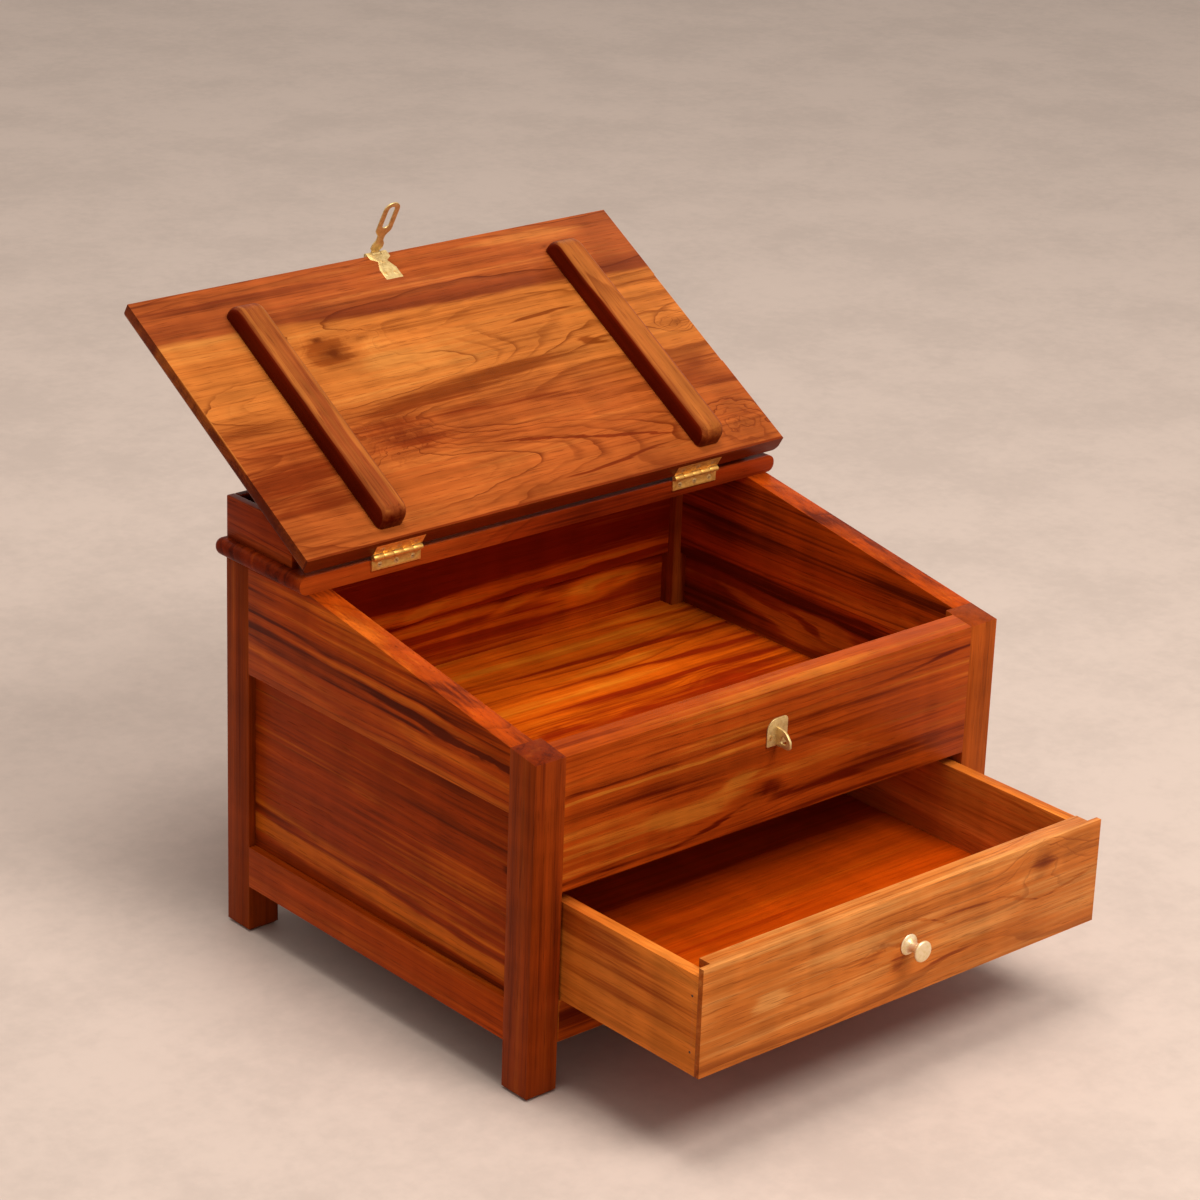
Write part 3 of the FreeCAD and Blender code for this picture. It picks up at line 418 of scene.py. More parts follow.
    tinted = wire.scaled(base, glow)
    tinted = wire.mix(lines, tinted, wire.mix(0.45, given["Dark"], deep))
    tinted = wire.mix(streak, tinted, deep)
    tinted = wire.mix(wire.math("MULTIPLY", given["Core"], 0.85, clamp=True), tinted, deep)
    tinted = wire.mix(wire.math("MULTIPLY", pores, 0.42), tinted, deep)

    height = wire.math("MULTIPLY_ADD", pores, -0.7, wire.math("MULTIPLY", fibre, 0.35))
    height = wire.math("MULTIPLY_ADD", lines, -0.35, height)
    gloss = wire.math("MULTIPLY_ADD", pores, 0.12, wire.math("MULTIPLY_ADD", cloud, 0.2, 0.38))
    leaving = wire.node("NodeGroupOutput").inputs
    wire.feed(leaving["Colour"], tinted)
    wire.feed(leaving["Height"], height)
    wire.feed(leaving["Roughness"], gloss)
    return tree


# ---------------------------------------------------------------- materials

ALONG_X = Matrix(((1, 0, 0), (0, 1, 0), (0, 0, 1)))
ALONG_X_UPRIGHT = Matrix(((1, 0, 0), (0, 0, 1), (0, -1, 0)))
ALONG_Y_UPRIGHT = Matrix(((0, 1, 0), (0, 0, 1), (1, 0, 0)))
ALONG_Z = Matrix(((0, 0, 1), (1, 0, 0), (0, 1, 0)))
END_GRAIN_TINT = (0.66, 0.50, 0.36)
SHEEN_TINT = (1.0, 0.40, 0.10, 1)
SHEEN_LEVEL = 0.05
WOOD_BUMP = (0.35, 0.00035)
BRASS_BUMP = (0.25, 0.00004)
BRASS_STEPS = 2
CORNER_STEPS = 5
TONE_PER_LEVEL = 0.33
# level of the painted shade along a board's near edge
PAINTED_EDGE_SHADE_LEVEL = -1.8


def new_material(name):
    """A node material, the wiring of its tree, its shader and its coordinates."""
    material = bpy.data.materials.new(name)
    material.use_nodes = True
    wire = Wiring(material.node_tree)
    shader = material.node_tree.nodes["Principled BSDF"]
    return material, wire, shader, wire.node("ShaderNodeTexCoord").outputs


def lid_frame():
    """Rows along the lid's width, up its slope and out of its underside."""
    rise, run = math.sin(LID_TILT), math.cos(LID_TILT)
    return Matrix(((1, 0, 0), (0, run, rise), (0, -rise, run)))


def ramp_across(wire, side, stops, values):
    """A colour ramp over the board's width, and the stops' own values on it."""
    first, last = stops[0][0], stops[-1][0]
    spread = wire.node("ShaderNodeMapRange")
    for socket, number in zip(spread.inputs, (side, first, last, 0.0, 1.0)):
        wire.feed(socket, number)
    return wire.ramp(spread.outputs[0], [((stop[0] - first) / (last - first), value)
                                         for stop, value in zip(stops, values)])


def add_knots(wire, place, knots):
    """How far the knots lift and curl the rings, and how dark their hearts are."""
    ruffle = wire.middled_vector(wire.noise(place, (30, 60, 60), detail=2, result="Color"))
    ruffled = wire.vector("MULTIPLY_ADD", ruffle, (0.012, 0.008, 0), place)
    curl = wire.middled(wire.noise(place, (75, 95, 95), detail=2, shift=6))
    lift = core = 0.0
    for along, across, long_radius, cross_radius, rise, dark in knots:
        away = wire.vector("SUBTRACT", ruffled, (along, across, 0))
        away = wire.vector("MULTIPLY", away, (1 / long_radius, 1 / cross_radius, 0))
        square = wire.vector("DOT_PRODUCT", away, away, result="Value")
        hill = wire.math("EXPONENT", wire.math("MULTIPLY", square, -1.0))
        lift = wire.math("MULTIPLY_ADD", hill, rise, lift)
        if dark:
            lift = wire.math("MULTIPLY_ADD", wire.math("MULTIPLY", hill, curl), 0.016, lift)
            spot = wire.math("EXPONENT", wire.math("MULTIPLY", square, -6.0))
            spot = wire.math("MULTIPLY", spot, wire.math("MULTIPLY_ADD", curl, 1.6, 1.0))
            core = wire.math("MULTIPLY_ADD", spot, dark, core)
    return lift, core


def add_patches(wire, place, level, patches):
    """The level with soft long patches of light or dark wood added to it."""
    for along, across, half_length, half_width, slant, strength in patches:
        away = wire.vector("SUBTRACT", place, (along, across, 0))
        away = wire.vector("MULTIPLY_ADD", wire.vector("DOT_PRODUCT", away, (1, 0, 0), result="Value"),
                           (0, -slant, 0), away)
        away = wire.vector("MULTIPLY", away, (1 / half_length, 1 / half_width, 0))
        square = wire.vector("DOT_PRODUCT", away, away, result="Value")
        fade = wire.math("EXPONENT", wire.math("MULTIPLY", wire.math("MULTIPLY", square, square), -1.0))
        level = wire.math("MULTIPLY_ADD", fade, strength, level)
    return level


def figure_place(wire, place, seed):
    """The place moved about a little, so that bands and patches wander and have ragged edges."""
    drift = wire.middled_vector(wire.noise(place, (7, 9, 9), detail=2, shift=seed, result="Color"))
    ragged = wire.noise(place, (12, 130, 130), detail=3, rough=0.6, shift=seed + 5, result="Color")
    moved = wire.vector("MULTIPLY_ADD", drift, (0.03, 0.016, 0), place)
    return wire.vector("MULTIPLY_ADD", wire.middled_vector(ragged), (0.03, 0.007, 0), moved)


def add_bands(wire, place, along, across, level, lift, seed, bands):
    """The level with light and dark bands added that run along the board and bend round its knots."""
    slant, pull, stops = bands
    side = wire.math("MULTIPLY_ADD", along, slant, across)
    side = wire.math("MULTIPLY_ADD", lift, -pull, side)
    band = ramp_across(wire, side, stops, [(0.5 + stop[1] / 2,) * 3 for stop in stops])
    band = wire.math("MULTIPLY_ADD", band, 2.0, -1.0)
    fade = wire.span(wire.noise(place, (6, 30, 30), detail=2, shift=seed + 9), 0.32, 0.62, 0.35, 1.25)
    return wire.math("MULTIPLY_ADD", band, fade, level)


def wood(name, tints, rows, origin, grain, knots=(), bands=None, patches=(), tones=None, painted_edge_shade=None):
    """Varnished hardwood for one board.

    rows are the directions along the grain, across the face and out of it; origin is the board's own zero.
    grain gives numbers for the grain group's sockets.
    knots are (along, across, long radius, cross radius, lift, heart) in metres from that zero.
    bands are (slant, pull of the knots, ((across, level), ...)): a level of 1 is light and of -1 dark.
    patches are (along, across, half length, half width, slant, level).
    tones are (slant, ((across, (dark, main, light)), ...)) where a board's colours change from side to side.
    painted_edge_shade is how far across the face the painted shade along its near edge reaches.
    """
    material, wire, shader, coordinates = new_material(name)
    mapping = wire.node("ShaderNodeMapping")
    wire.feed(mapping.inputs["Vector"], coordinates["Object"])
    mapping.inputs["Rotation"].default_value = rows.to_euler("XYZ")
    mapping.inputs["Location"].default_value = -(rows @ Vector(origin))
    place = mapping.outputs[0]

    group = wire.node("ShaderNodeGroup", node_tree=grain_group())
    wire.feed(group.inputs["Place"], place)
    for label, value in grain.items():
        wire.feed(group.inputs[label], value)
    lift, core = add_knots(wire, place, knots) if knots else (0.0, 0.0)
    wire.feed(group.inputs["Lift"], lift)
    wire.feed(group.inputs["Core"], core)
    for label, value in zip(("Dark", "Main", "Light"), tints):
        group.inputs[label].default_value = (*value[:3], 1)

    seed = grain["Seed"]
    figured = figure_place(wire, place, seed)
    along, across, _ = wire.parts(figured)
    level = 0.0
    # painted shade along the board's near edge: darkest up to 0.6 times its reach, gone by 1.6 times
    if painted_edge_shade:
        level = wire.span(wire.parts(place)[1], 0.6 * painted_edge_shade, 1.6 * painted_edge_shade, PAINTED_EDGE_SHADE_LEVEL, 0.0)
    if bands:
        level = add_bands(wire, place, along, across, level, lift, seed, bands)
    if bands or patches or painted_edge_shade:
        level = add_patches(wire, figured, level, patches)
        wire.feed(group.inputs["Tone"], wire.math("MULTIPLY", level, TONE_PER_LEVEL))
    if tones:
        slant, stops = tones
        side = wire.math("MULTIPLY_ADD", along, slant, across)
        for index, label in enumerate(("Dark", "Main", "Light")):
            shades = [colours[index] for _, colours in stops]
            wire.feed(group.inputs[label], ramp_across(wire, side, stops, shades))

    # rounded edges lightened toward the light tint: partly wear, partly a painted highlight where the lamps would
    # glint on the arrises
    wear_and_highlight = wire.node("ShaderNodeAttribute", attribute_name="wear_and_highlight").outputs["Fac"]
    rub_and_highlight = wire.span(wire.noise(place, (60, 60, 60), detail=2, shift=4), 0.35, 0.65)
    rub_and_highlight = wire.math("MULTIPLY", wear_and_highlight, wire.math("MULTIPLY_ADD", rub_and_highlight, 0.35, 0.15))
    rubbed_and_highlit = wire.mix(rub_and_highlight, group.outputs["Colour"], tints[2])
    facing = wire.vector("DOT_PRODUCT", coordinates["Normal"], tuple(rows[0]), result="Value")
    at_end = wire.span(wire.math("ABSOLUTE", facing), 0.5, 0.95)
    end_grain = wire.mix(1.0, rubbed_and_highlit, END_GRAIN_TINT, "MULTIPLY")
    wire.feed(shader.inputs["Base Color"], wire.mix(at_end, rubbed_and_highlit, end_grain))
    wire.feed(shader.inputs["Roughness"], group.outputs["Roughness"])
    wire.bump(shader, group.outputs["Height"], *WOOD_BUMP)
    shader.inputs["Specular IOR Level"].default_value = SHEEN_LEVEL
    shader.inputs["Specular Tint"].default_value = SHEEN_TINT
    return material


def brass(name, dull, bright):
    """Satin brass with fine scratches and a little tarnish."""
    material, wire, shader, coordinates = new_material(name)
    place = coordinates["Object"]
    tarnish = wire.noise(place, (260, 260, 260), detail=4, rough=0.6)
    scratch = wire.noise(place, (300, 300, 2600), detail=3, rough=0.6, shift=3)
    # rounded edges brightened: rubbed brass, partly a painted highlight as on the wood's edges
    wear_and_highlight = wire.node("ShaderNodeAttribute", attribute_name="wear_and_highlight").outputs["Fac"]
    level = wire.math("ADD", wire.span(tarnish, 0.2, 0.7), wear_and_highlight, clamp=True)
    wire.feed(shader.inputs["Base Color"], wire.mix(level, dull, bright))
    rough = wire.math("MULTIPLY_ADD", wire.middled(scratch), 0.2, 0.44)
    wire.feed(shader.inputs["Roughness"], wire.math("MULTIPLY_ADD", level, -0.08, rough))
    shader.inputs["Metallic"].default_value = 0.65
    wire.bump(shader, wire.math("ADD", tarnish, wire.math("MULTIPLY", scratch, 0.5)), *BRASS_BUMP)
    return material


def steel(name, tint):
    """Dull dark steel with a little rust in its tone."""
    material, wire, shader, coordinates = new_material(name)
    rust = wire.noise(coordinates["Object"], (900, 900, 900), detail=3, rough=0.6)
    dim = tuple(0.55 * part for part in tint)
    wire.feed(shader.inputs["Base Color"], wire.mix(wire.span(rust, 0.4, 0.6), dim, tint))
    wire.feed(shader.inputs["Roughness"], wire.math("MULTIPLY_ADD", rust, 0.3, 0.4))
    shader.inputs["Metallic"].default_value = 0.6
    return material


# ---------------------------------------------------------------- meshes

def settings_of(context):
    """All the writing box's settings in this scene."""
    return context.scene.writing_box


def finish_piece(mesh, name, material, slot, *nodes):
    """Make the mesh a piece that rides where the CAD nodes ride and stands for them."""
    piece = bpy.data.objects.new(name, mesh)
    bpy.context.scene.collection.objects.link(piece)
    mesh.materials.clear()
    mesh.materials.append(material)
    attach(piece, BODY_OF[nodes[0]])
    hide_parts(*nodes)


def mark_sharp(shape, sharp):
    """Shade the shape smooth, but for edges that turn by more than sharp degrees."""
    for face in shape.faces:
        face.smooth = True
    for edge in shape.edges:
        edge.smooth = len(edge.link_faces) != 2 or edge.calc_face_angle() < math.radians(sharp)


def hard_edges(shape, sharp):
    """The edges that turn by more than sharp degrees."""
    return [edge for edge in shape.edges
            if len(edge.link_faces) == 2 and edge.calc_face_angle() > math.radians(sharp)]


def round_off(shape, edges, radius, steps):
    """The new faces of the edges, rounded."""
    made = bmesh.ops.bevel(shape, geom=edges, offset=radius, segments=steps, profile=0.5, affect="EDGES",
                           clamp_overlap=True)
    return made["faces"]


def clean_shape(node):
    """A CAD node's loose triangles joined at their corners."""
    shape = bmesh.new()
    shape.from_mesh(frame["nodes"][node].data)
    bmesh.ops.remove_doubles(shape, verts=shape.verts, dist=SAME_POINT)
    return shape


def to_mesh(shape, name):
    """The shape as a mesh, and the shape is used up."""
    mesh = bpy.data.meshes.new(name)
    shape.to_mesh(mesh)
    shape.free()
    return mesh


def in_seam(edge, seams):
    """Whether both ends of the edge lie in the plane of one of the glued seams."""
    return any(all(abs((corner.co - point).dot(way)) < SAME_PLANE for corner in edge.verts)
               for point, way in seams)


def eased_mesh(node, ease, steps, glued=(), corners=None, sharp=28.0):
    """A clean copy of a CAD node's mesh with its outer sharp edges rounded, and the rounded faces marked for wear
    and a painted highlight.

    sharp is how many degrees an edge turns by to be rounded; a little more and it is shaded as hard.
    glued are the seams it is glued along, as (point, direction): edges that lie in one stay sharp.
    corners is (direction, radius) for the corners of sheet metal, seen along that direction.
    """
    shape = clean_shape(node)
    bmesh.ops.dissolve_limit(shape, angle_limit=FLAT, verts=shape.verts, edges=shape.edges)
    if corners:
        way, radius = corners
        upright = [edge for edge in hard_edges(shape, sharp)
                   if abs((edge.verts[0].co - edge.verts[1].co).normalized().dot(way)) > PARALLEL]
        round_off(shape, upright, radius, CORNER_STEPS)
    edges = [edge for edge in hard_edges(shape, sharp) if edge.is_convex and not in_seam(edge, glued)]
    # the rounded faces carry the wear and painted highlight of the finish
    wear_and_highlight = shape.faces.layers.float.new("wear_and_highlight")
    for face in round_off(shape, edges, ease, steps):
        face[wear_and_highlight] = 1.0
    mark_sharp(shape, sharp + 4)
    return to_mesh(shape, node + "_worn")


def dress(context, node, material, slot, ease=None, steps=None, glued=(), corners=None):
    """One board or fitting in its finish; its edges are rounded as the settings say, or by ease and steps, and
    carry wear and a painted highlight.
    """
    edges = settings_of(context).edges
    mesh = eased_mesh(node, edges.ease if ease is None else ease, edges.steps if steps is None else steps,
                      glued, corners)
    finish_piece(mesh, node + "_finished", material, slot, node)


def dress_brass(context, node, material, slot="brass", corners=None):
    """One metal fitting in its finish."""
    dress(context, node, material, slot, settings_of(context).brass.ease, BRASS_STEPS, corners=corners)


def taken(context, maker):
    """The plain mesh that an object's curve or modifiers give, and the object is gone."""
    context.scene.collection.objects.link(maker)
    mesh = bpy.data.meshes.new_from_object(maker.evaluated_get(context.evaluated_depsgraph_get()))
    maker.modifiers.clear()
    bpy.data.objects.remove(maker)
    return mesh


def rounded(corners, steps=6):
    """The outline of a polygon with its corners, given as (x, y, radius), rounded."""
    outline = []
    for index, (across, along, radius) in enumerate(corners):
        here = Vector((across, along))
        back = (Vector(corners[index - 1][:2]) - here).normalized()
        forth = (Vector(corners[(index + 1) % len(corners)][:2]) - here).normalized()
        half = back.angle(forth) / 2
        centre = here + (back + forth).normalized() * (radius / math.sin(half))
        first, last = (here + way * (radius / math.tan(half)) - centre for way in (back, forth))
        if radius:
            outline += [centre + first.lerp(last, step / steps).normalized() * radius
                        for step in range(steps + 1)]
        else:
            outline.append(here)
    return outline


def stamping(context, name, outlines, thickness, edge):
    """Sheet metal cut to outlines, flat on XY with its middle at zero; its edges are rounded.

    An outline is a list of (x, y, radius of the corner there), and the later ones are holes.
    """
    curve = bpy.data.curves.new(name, "CURVE")
    curve.dimensions = "2D"
    curve.fill_mode = "BOTH"
    curve.extrude = thickness / 2 - edge
    curve.bevel_depth = edge
    curve.bevel_resolution = 2
    curve.offset = -edge
    for corners in outlines:
        outline = rounded(corners)
        spline = curve.splines.new("POLY")
        spline.points.add(len(outline) - 1)
        spline.use_cyclic_u = True
        for point, place in zip(spline.points, outline):
            point.co = (place.x, place.y, 0, 1)
    return taken(context, bpy.data.objects.new(name, curve))


def joined(name, meshes, sharp=35.0):
    """One shaded mesh out of several closed ones, which are used up."""
    shape = bmesh.new()
    for mesh in meshes:
        shape.from_mesh(mesh)
        bpy.data.meshes.remove(mesh)
    bmesh.ops.remove_doubles(shape, verts=shape.verts, dist=0.1 * SAME_POINT)
    bmesh.ops.recalc_face_normals(shape, faces=shape.faces)
    mark_sharp(shape, sharp)
    return to_mesh(shape, name)


def turning(name, profile, steps=64):
    """A turned piece: its profile of (radius, height) spun about Z."""
    shape = bmesh.new()
    rings = []
    for radius, height in profile:
        count = steps if radius else 1
        rings.append([shape.verts.new((radius * math.cos(math.tau * step / steps),
                                       radius * math.sin(math.tau * step / steps), height))
                      for step in range(count)])
    for lower, upper in zip(rings, rings[1:]):
        for step in range(steps):
            after = (step + 1) % steps
            corners = (lower[step % len(lower)], lower[after % len(lower)],
                       upper[after % len(upper)], upper[step % len(upper)])
            shape.faces.new(list(dict.fromkeys(corners)))
    return to_mesh(shape, name)


def islands(node):
    """The points of each separate solid in a CAD node, in metres."""
    shape = clean_shape(node)
    seen, solids = set(), []
    for start in shape.verts:
        if start in seen:
            continue
        seen.add(start)
        waiting, reached = [start], []
        while waiting:
            point = waiting.pop()
            reached.append(point.co.copy())
            beside = [edge.other_vert(point) for edge in point.link_edges]
            waiting += [other for other in beside if other not in seen]
            seen.update(beside)
        solids.append(reached)
    shape.free()
    return solids


def head_places(node, way=None):
    """Where the heads of a CAD node's screws or nails are, each with the way it faces.

    Without a way they face left or right, away from the box's middle.
    """
    places = []
    for points in islands(node):
        facing = Vector((math.copysign(1, points[0].x), 0, 0)) if way is None else way
        top = max(point.dot(facing) for point in points)
        rim = [point for point in points if top - point.dot(facing) < SAME_PLANE]
        places.append((sum(rim, Vector()) / len(rim), facing))
    return sorted(places, key=lambda place: tuple(place[0]))


def tints(settings, prefix=""):
    """The dark, main and light colours of a group of settings."""
    return [tuple(getattr(settings, prefix + part)) for part in ("dark", "main", "light")]


def labelled(numbers):
    """Numbers by the labels of their sockets: streak_width is Streak width."""
    return {word.replace("_", " ").capitalize(): value for word, value in numbers.items()}


def grain_of(settings, seed, **more):
    """The numbers for the grain group."""
    return labelled({"pitch": settings.pitch, "seed": seed, **more})


def dress_board(context, node, kind, slot, rows, seed, ease=None, glued=(), origin=None, prefix="",
                figure=None, **grain):
    """One board in wood of its own.

    kind names its group of settings and prefix the colours there; seed picks its grain.
    figure holds its knots, bands, patches and painted edge shade as wood() takes them, and grain more numbers.
    """
    settings = getattr(settings_of(context), kind)
    material = wood(node + "_wood", tints(settings, prefix), rows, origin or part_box(node)[0],
                    grain_of(settings, seed, **grain), **(figure or {}))
    dress(context, node, material, slot, ease, glued=glued)


# ---------------------------------------------------------------- pieces

class WRITINGBOX_OT_posts(bpy.types.Operator):
    """Dress the four posts"""
    bl_idname = "writing_box.posts"
    bl_label = "Posts"
    seed = 1.0
    ease = 0.0016
    # the front right post is lightened over nearly all its length: a painted reflection
    painted_reflection = {"front_right": ((0.15, 0.0, 0.40, 0.08, 0.0, 0.7),)}

    def execute(self, context):
        for step, side in enumerate(("front_left", "front_right", "rear_left", "rear_right")):
            dress_board(context, "post_" + side, "posts", "post_wood", ALONG_Z, self.seed + step, self.ease,
                        figure={"patches": self.painted_reflection.get(side, ())}, pith_across=-0.05, pith_below=0.12,
                        wander=0.008, lines=0.35, streaks=0.12, band=0.02, contrast=0.6)
        return {"FINISHED"}


class WRITINGBOX_OT_side_rails(bpy.types.Operator):
    """Dress the top and bottom rails of both sides"""
    bl_idname = "writing_box.side_rails"
    bl_label = "Side rails"
    top_seed = 11.0
    bottom_seed = 15.0
    top_knots = ((0.052, 0.032, 0.03, 0.006, 0.004, 0.4),)
    top_bands = {
        "left": (-0.036, 0.6, (
            (-0.012, 0.2), (0.002, 0.35), (0.007, -0.1), (0.010, 0.4), (0.020, 0.45), (0.024, -0.2),
            (0.028, 0.2), (0.0315, -0.7), (0.036, -0.6), (0.039, 0.55), (0.043, 0.4), (0.046, -0.6),
            (0.049, -0.1), (0.058, 0.1), (0.064, -0.5), (0.069, 0.0), (0.078, 0.2), (0.086, -0.2),
            (0.12, 0.1))),
        "right": (0.01, 0.6, (
            (-0.01, -1.2), (0.008, -1.2), (0.013, -0.1), (0.018, 0.6), (0.024, 0.2), (0.034, -0.3),
            (0.042, 0.0), (0.050, -0.6), (0.058, 0.0), (0.075, -0.3), (0.09, -0.5), (0.12, -0.2))),
    }
    bottom_bands = (0.0, 0.0, ((0.0, 0.1), (0.010, 0.2), (0.018, -0.2), (0.026, 0.1), (0.036, 0.2)))

    def execute(self, context):
        for step, side in enumerate(("left", "right")):
            dress_board(context, "side_top_rail_" + side, "rails", "rail_wood", ALONG_Y_UPRIGHT,
                        self.top_seed + step, figure={"knots": self.top_knots, "bands": self.top_bands[side]},
                        pith_across=0.42, pith_below=0.05, wander=0.012, lines=0.8, streaks=0.25,
                        streak_width=0.022, band=0.018, contrast=0.5)
            dress_board(context, "side_bottom_rail_" + side, "rails", "rail_wood", ALONG_Y_UPRIGHT,
                        self.bottom_seed + step, figure={"bands": self.bottom_bands},
                        pith_across=-0.16, pith_below=0.06, wander=0.02, lines=0.5, streaks=0.25,
                        contrast=0.6)
        return {"FINISHED"}


class WRITINGBOX_OT_side_panels(bpy.types.Operator):
    """Dress the two boards of each side panel"""
    bl_idname = "writing_box.side_panels"
    bl_label = "Side panels"
    seeds = {"upper": 21.0, "lower": 25.0}
    ease = 0.0006
    bands = {
        "upper": (-0.01, 0.0, ((0.0, -0.1), (0.02, 0.0), (0.03, -0.2), (0.045, 0.0), (0.07, -0.15))),
        # the darker first stops, along the lower board's bottom edge, are painted shade where it meets the bottom
        # rail
        "lower": (-0.03, 0.0, (
            (-0.02, -0.3), (0.010, -0.2), (0.014, 0.45), (0.022, 0.5), (0.027, 0.1), (0.0295, -0.6),
            (0.034, -0.6), (0.037, 0.3), (0.044, 0.1), (0.049, 0.0), (0.052, -0.3), (0.055, 0.0),
            (0.075, 0.0), (0.095, 0.1))),
    }
    patches = {
        ("upper", "left"): ((0.010, 0.014, 0.012, 0.005, 0.0, -0.9),),
        ("upper", "right"): ((0.175, 0.044, 0.045, 0.016, -0.1, 1.2), (0.245, 0.046, 0.05, 0.006, 0.1, 0.8),
                             (0.18, 0.047, 0.02, 0.005, 0.3, -1.4), (0.1, 0.066, 0.2, 0.006, 0.0, -0.8)),
    }

    def execute(self, context):
        seam = (Vector((0, 0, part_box("side_panel_upper_left")[0].z)), Vector((0, 0, 1)))
        for step, side in enumerate(("left", "right")):
            for level, seed in self.seeds.items():
                figure = {"bands": self.bands[level], "patches": self.patches.get((level, side), ())}
                dress_board(context, f"side_panel_{level}_{side}", "panels", "panel_wood", ALONG_Y_UPRIGHT,
                            seed + step, self.ease, glued=(seam,), figure=figure, pith_across=-0.3,
                            pith_below=0.04, wander=0.02, lines=0.4, streaks=0.15, contrast=0.5)
        return {"FINISHED"}


class WRITINGBOX_OT_front(bpy.types.Operator):
    """Dress the board and the bottom rail across the front"""
    bl_idname = "writing_box.front"
    bl_label = "Front board and rail"
    board_seed = 31.0
    rail_seed = 33.0
    board_ease = 0.0014
    board_knots = ((0.200, 0.024, 0.050, 0.018, 0.014, 0.0), (0.214, 0.026, 0.016, 0.009, 0.006, 0.35),
                   (0.236, 0.022, 0.012, 0.006, 0.004, 0.3))
    board_patches = (
        (0.20, 0.001, 0.30, 0.003, 0.0, -0.31),
        (0.075, 0.0065, 0.080, 0.0022, 0.0, -0.62), (0.168, 0.014, 0.034, 0.0024, 0.22, -0.56),
        (0.055, 0.012, 0.06, 0.003, 0.0, 0.38), (0.09, 0.032, 0.08, 0.009, 0.0, 0.38),
        (0.155, 0.033, 0.050, 0.009, 0.06, 0.68), (0.192, 0.047, 0.018, 0.006, 0.1, 0.6),
        (0.275, 0.041, 0.070, 0.006, 0.0, 0.45), (0.225, 0.028, 0.026, 0.009, -0.2, -0.5),
        (0.29, 0.014, 0.07, 0.0035, -0.05, -0.31), (0.30, 0.024, 0.05, 0.004, 0.0, 0.15),
        (0.35, 0.018, 0.09, 0.010, 0.0, -0.19), (0.08, 0.057, 0.10, 0.011, -0.02, -0.34),
        (0.24, 0.059, 0.09, 0.008, 0.0, -0.19), (0.095, 0.0725, 0.11, 0.0016, 0.0, 0.6),
        (0.06, 0.078, 0.07, 0.0016, 0.0, -0.43), (0.25, 0.081, 0.10, 0.0016, 0.02, -0.31),
        (0.11, 0.090, 0.08, 0.0016, 0.05, -0.37), (0.40, 0.093, 0.08, 0.0018, 0.07, -0.43),
        (0.20, 0.107, 0.30, 0.008, 0.0, 0.19))

    def execute(self, context):
        dress_board(context, "front_top_board", "front", "front_wood", ALONG_X_UPRIGHT, self.board_seed,
                    self.board_ease, figure={"knots": self.board_knots, "patches": self.board_patches},
                    pith_across=-0.3, pith_below=-0.05, wander=0.014, lines=0.5, streaks=0.15,
                    streak_width=0.05, band=0.03, contrast=0.4)
        dress_board(context, "front_bottom_rail", "front", "rail_wood", ALONG_X_UPRIGHT, self.rail_seed,
                    pith_across=-0.1, wander=0.02)
        return {"FINISHED"}


class WRITINGBOX_OT_back(bpy.types.Operator):
    """Dress the rails and the panel across the back"""
    bl_idname = "writing_box.back"
    bl_label = "Back rails and panel"
    seed = 41.0
    ease = 0.0008
    boards = (("back_bottom_rail", "rails", "rail_wood"), ("back_top_rail", "inside", "rail_wood"),
              ("back_panel", "inside", "panel_wood"))
    patches = {
        "back_bottom_rail": (),
        "back_top_rail": (
            (0.23, 0.05, 0.40, 0.12, 0.0, -0.6), (0.20, 0.012, 0.30, 0.007, 0.0, 0.9),
            (0.30, 0.004, 0.20, 0.003, 0.03, -0.9), (0.22, 0.034, 0.30, 0.012, 0.0, -0.7),
            (0.17, 0.010, 0.03, 0.006, 0.2, 0.6)),
        "back_panel": (
            (0.23, 0.12, 0.40, 0.12, 0.0, -0.6), (0.30, 0.168, 0.30, 0.006, 0.02, -0.9),
            (0.18, 0.152, 0.07, 0.006, 0.0, 0.9), (0.37, 0.148, 0.045, 0.010, 0.1, 0.9),
            (0.38, 0.147, 0.020, 0.0035, 0.1, -0.8), (0.28, 0.150, 0.03, 0.005, 0.2, 0.7),
            (0.24, 0.136, 0.12, 0.004, 0.0, 0.5)),
    }

    def execute(self, context):
        for step, (node, kind, slot) in enumerate(self.boards):
            dress_board(context, node, kind, slot, ALONG_X_UPRIGHT, self.seed + step, self.ease,
                        figure={"patches": self.patches[node]}, pith_across=-0.15, pith_below=0.06,
                        wander=0.03, lines=0.5, streaks=0.3, contrast=0.6)
        return {"FINISHED"}


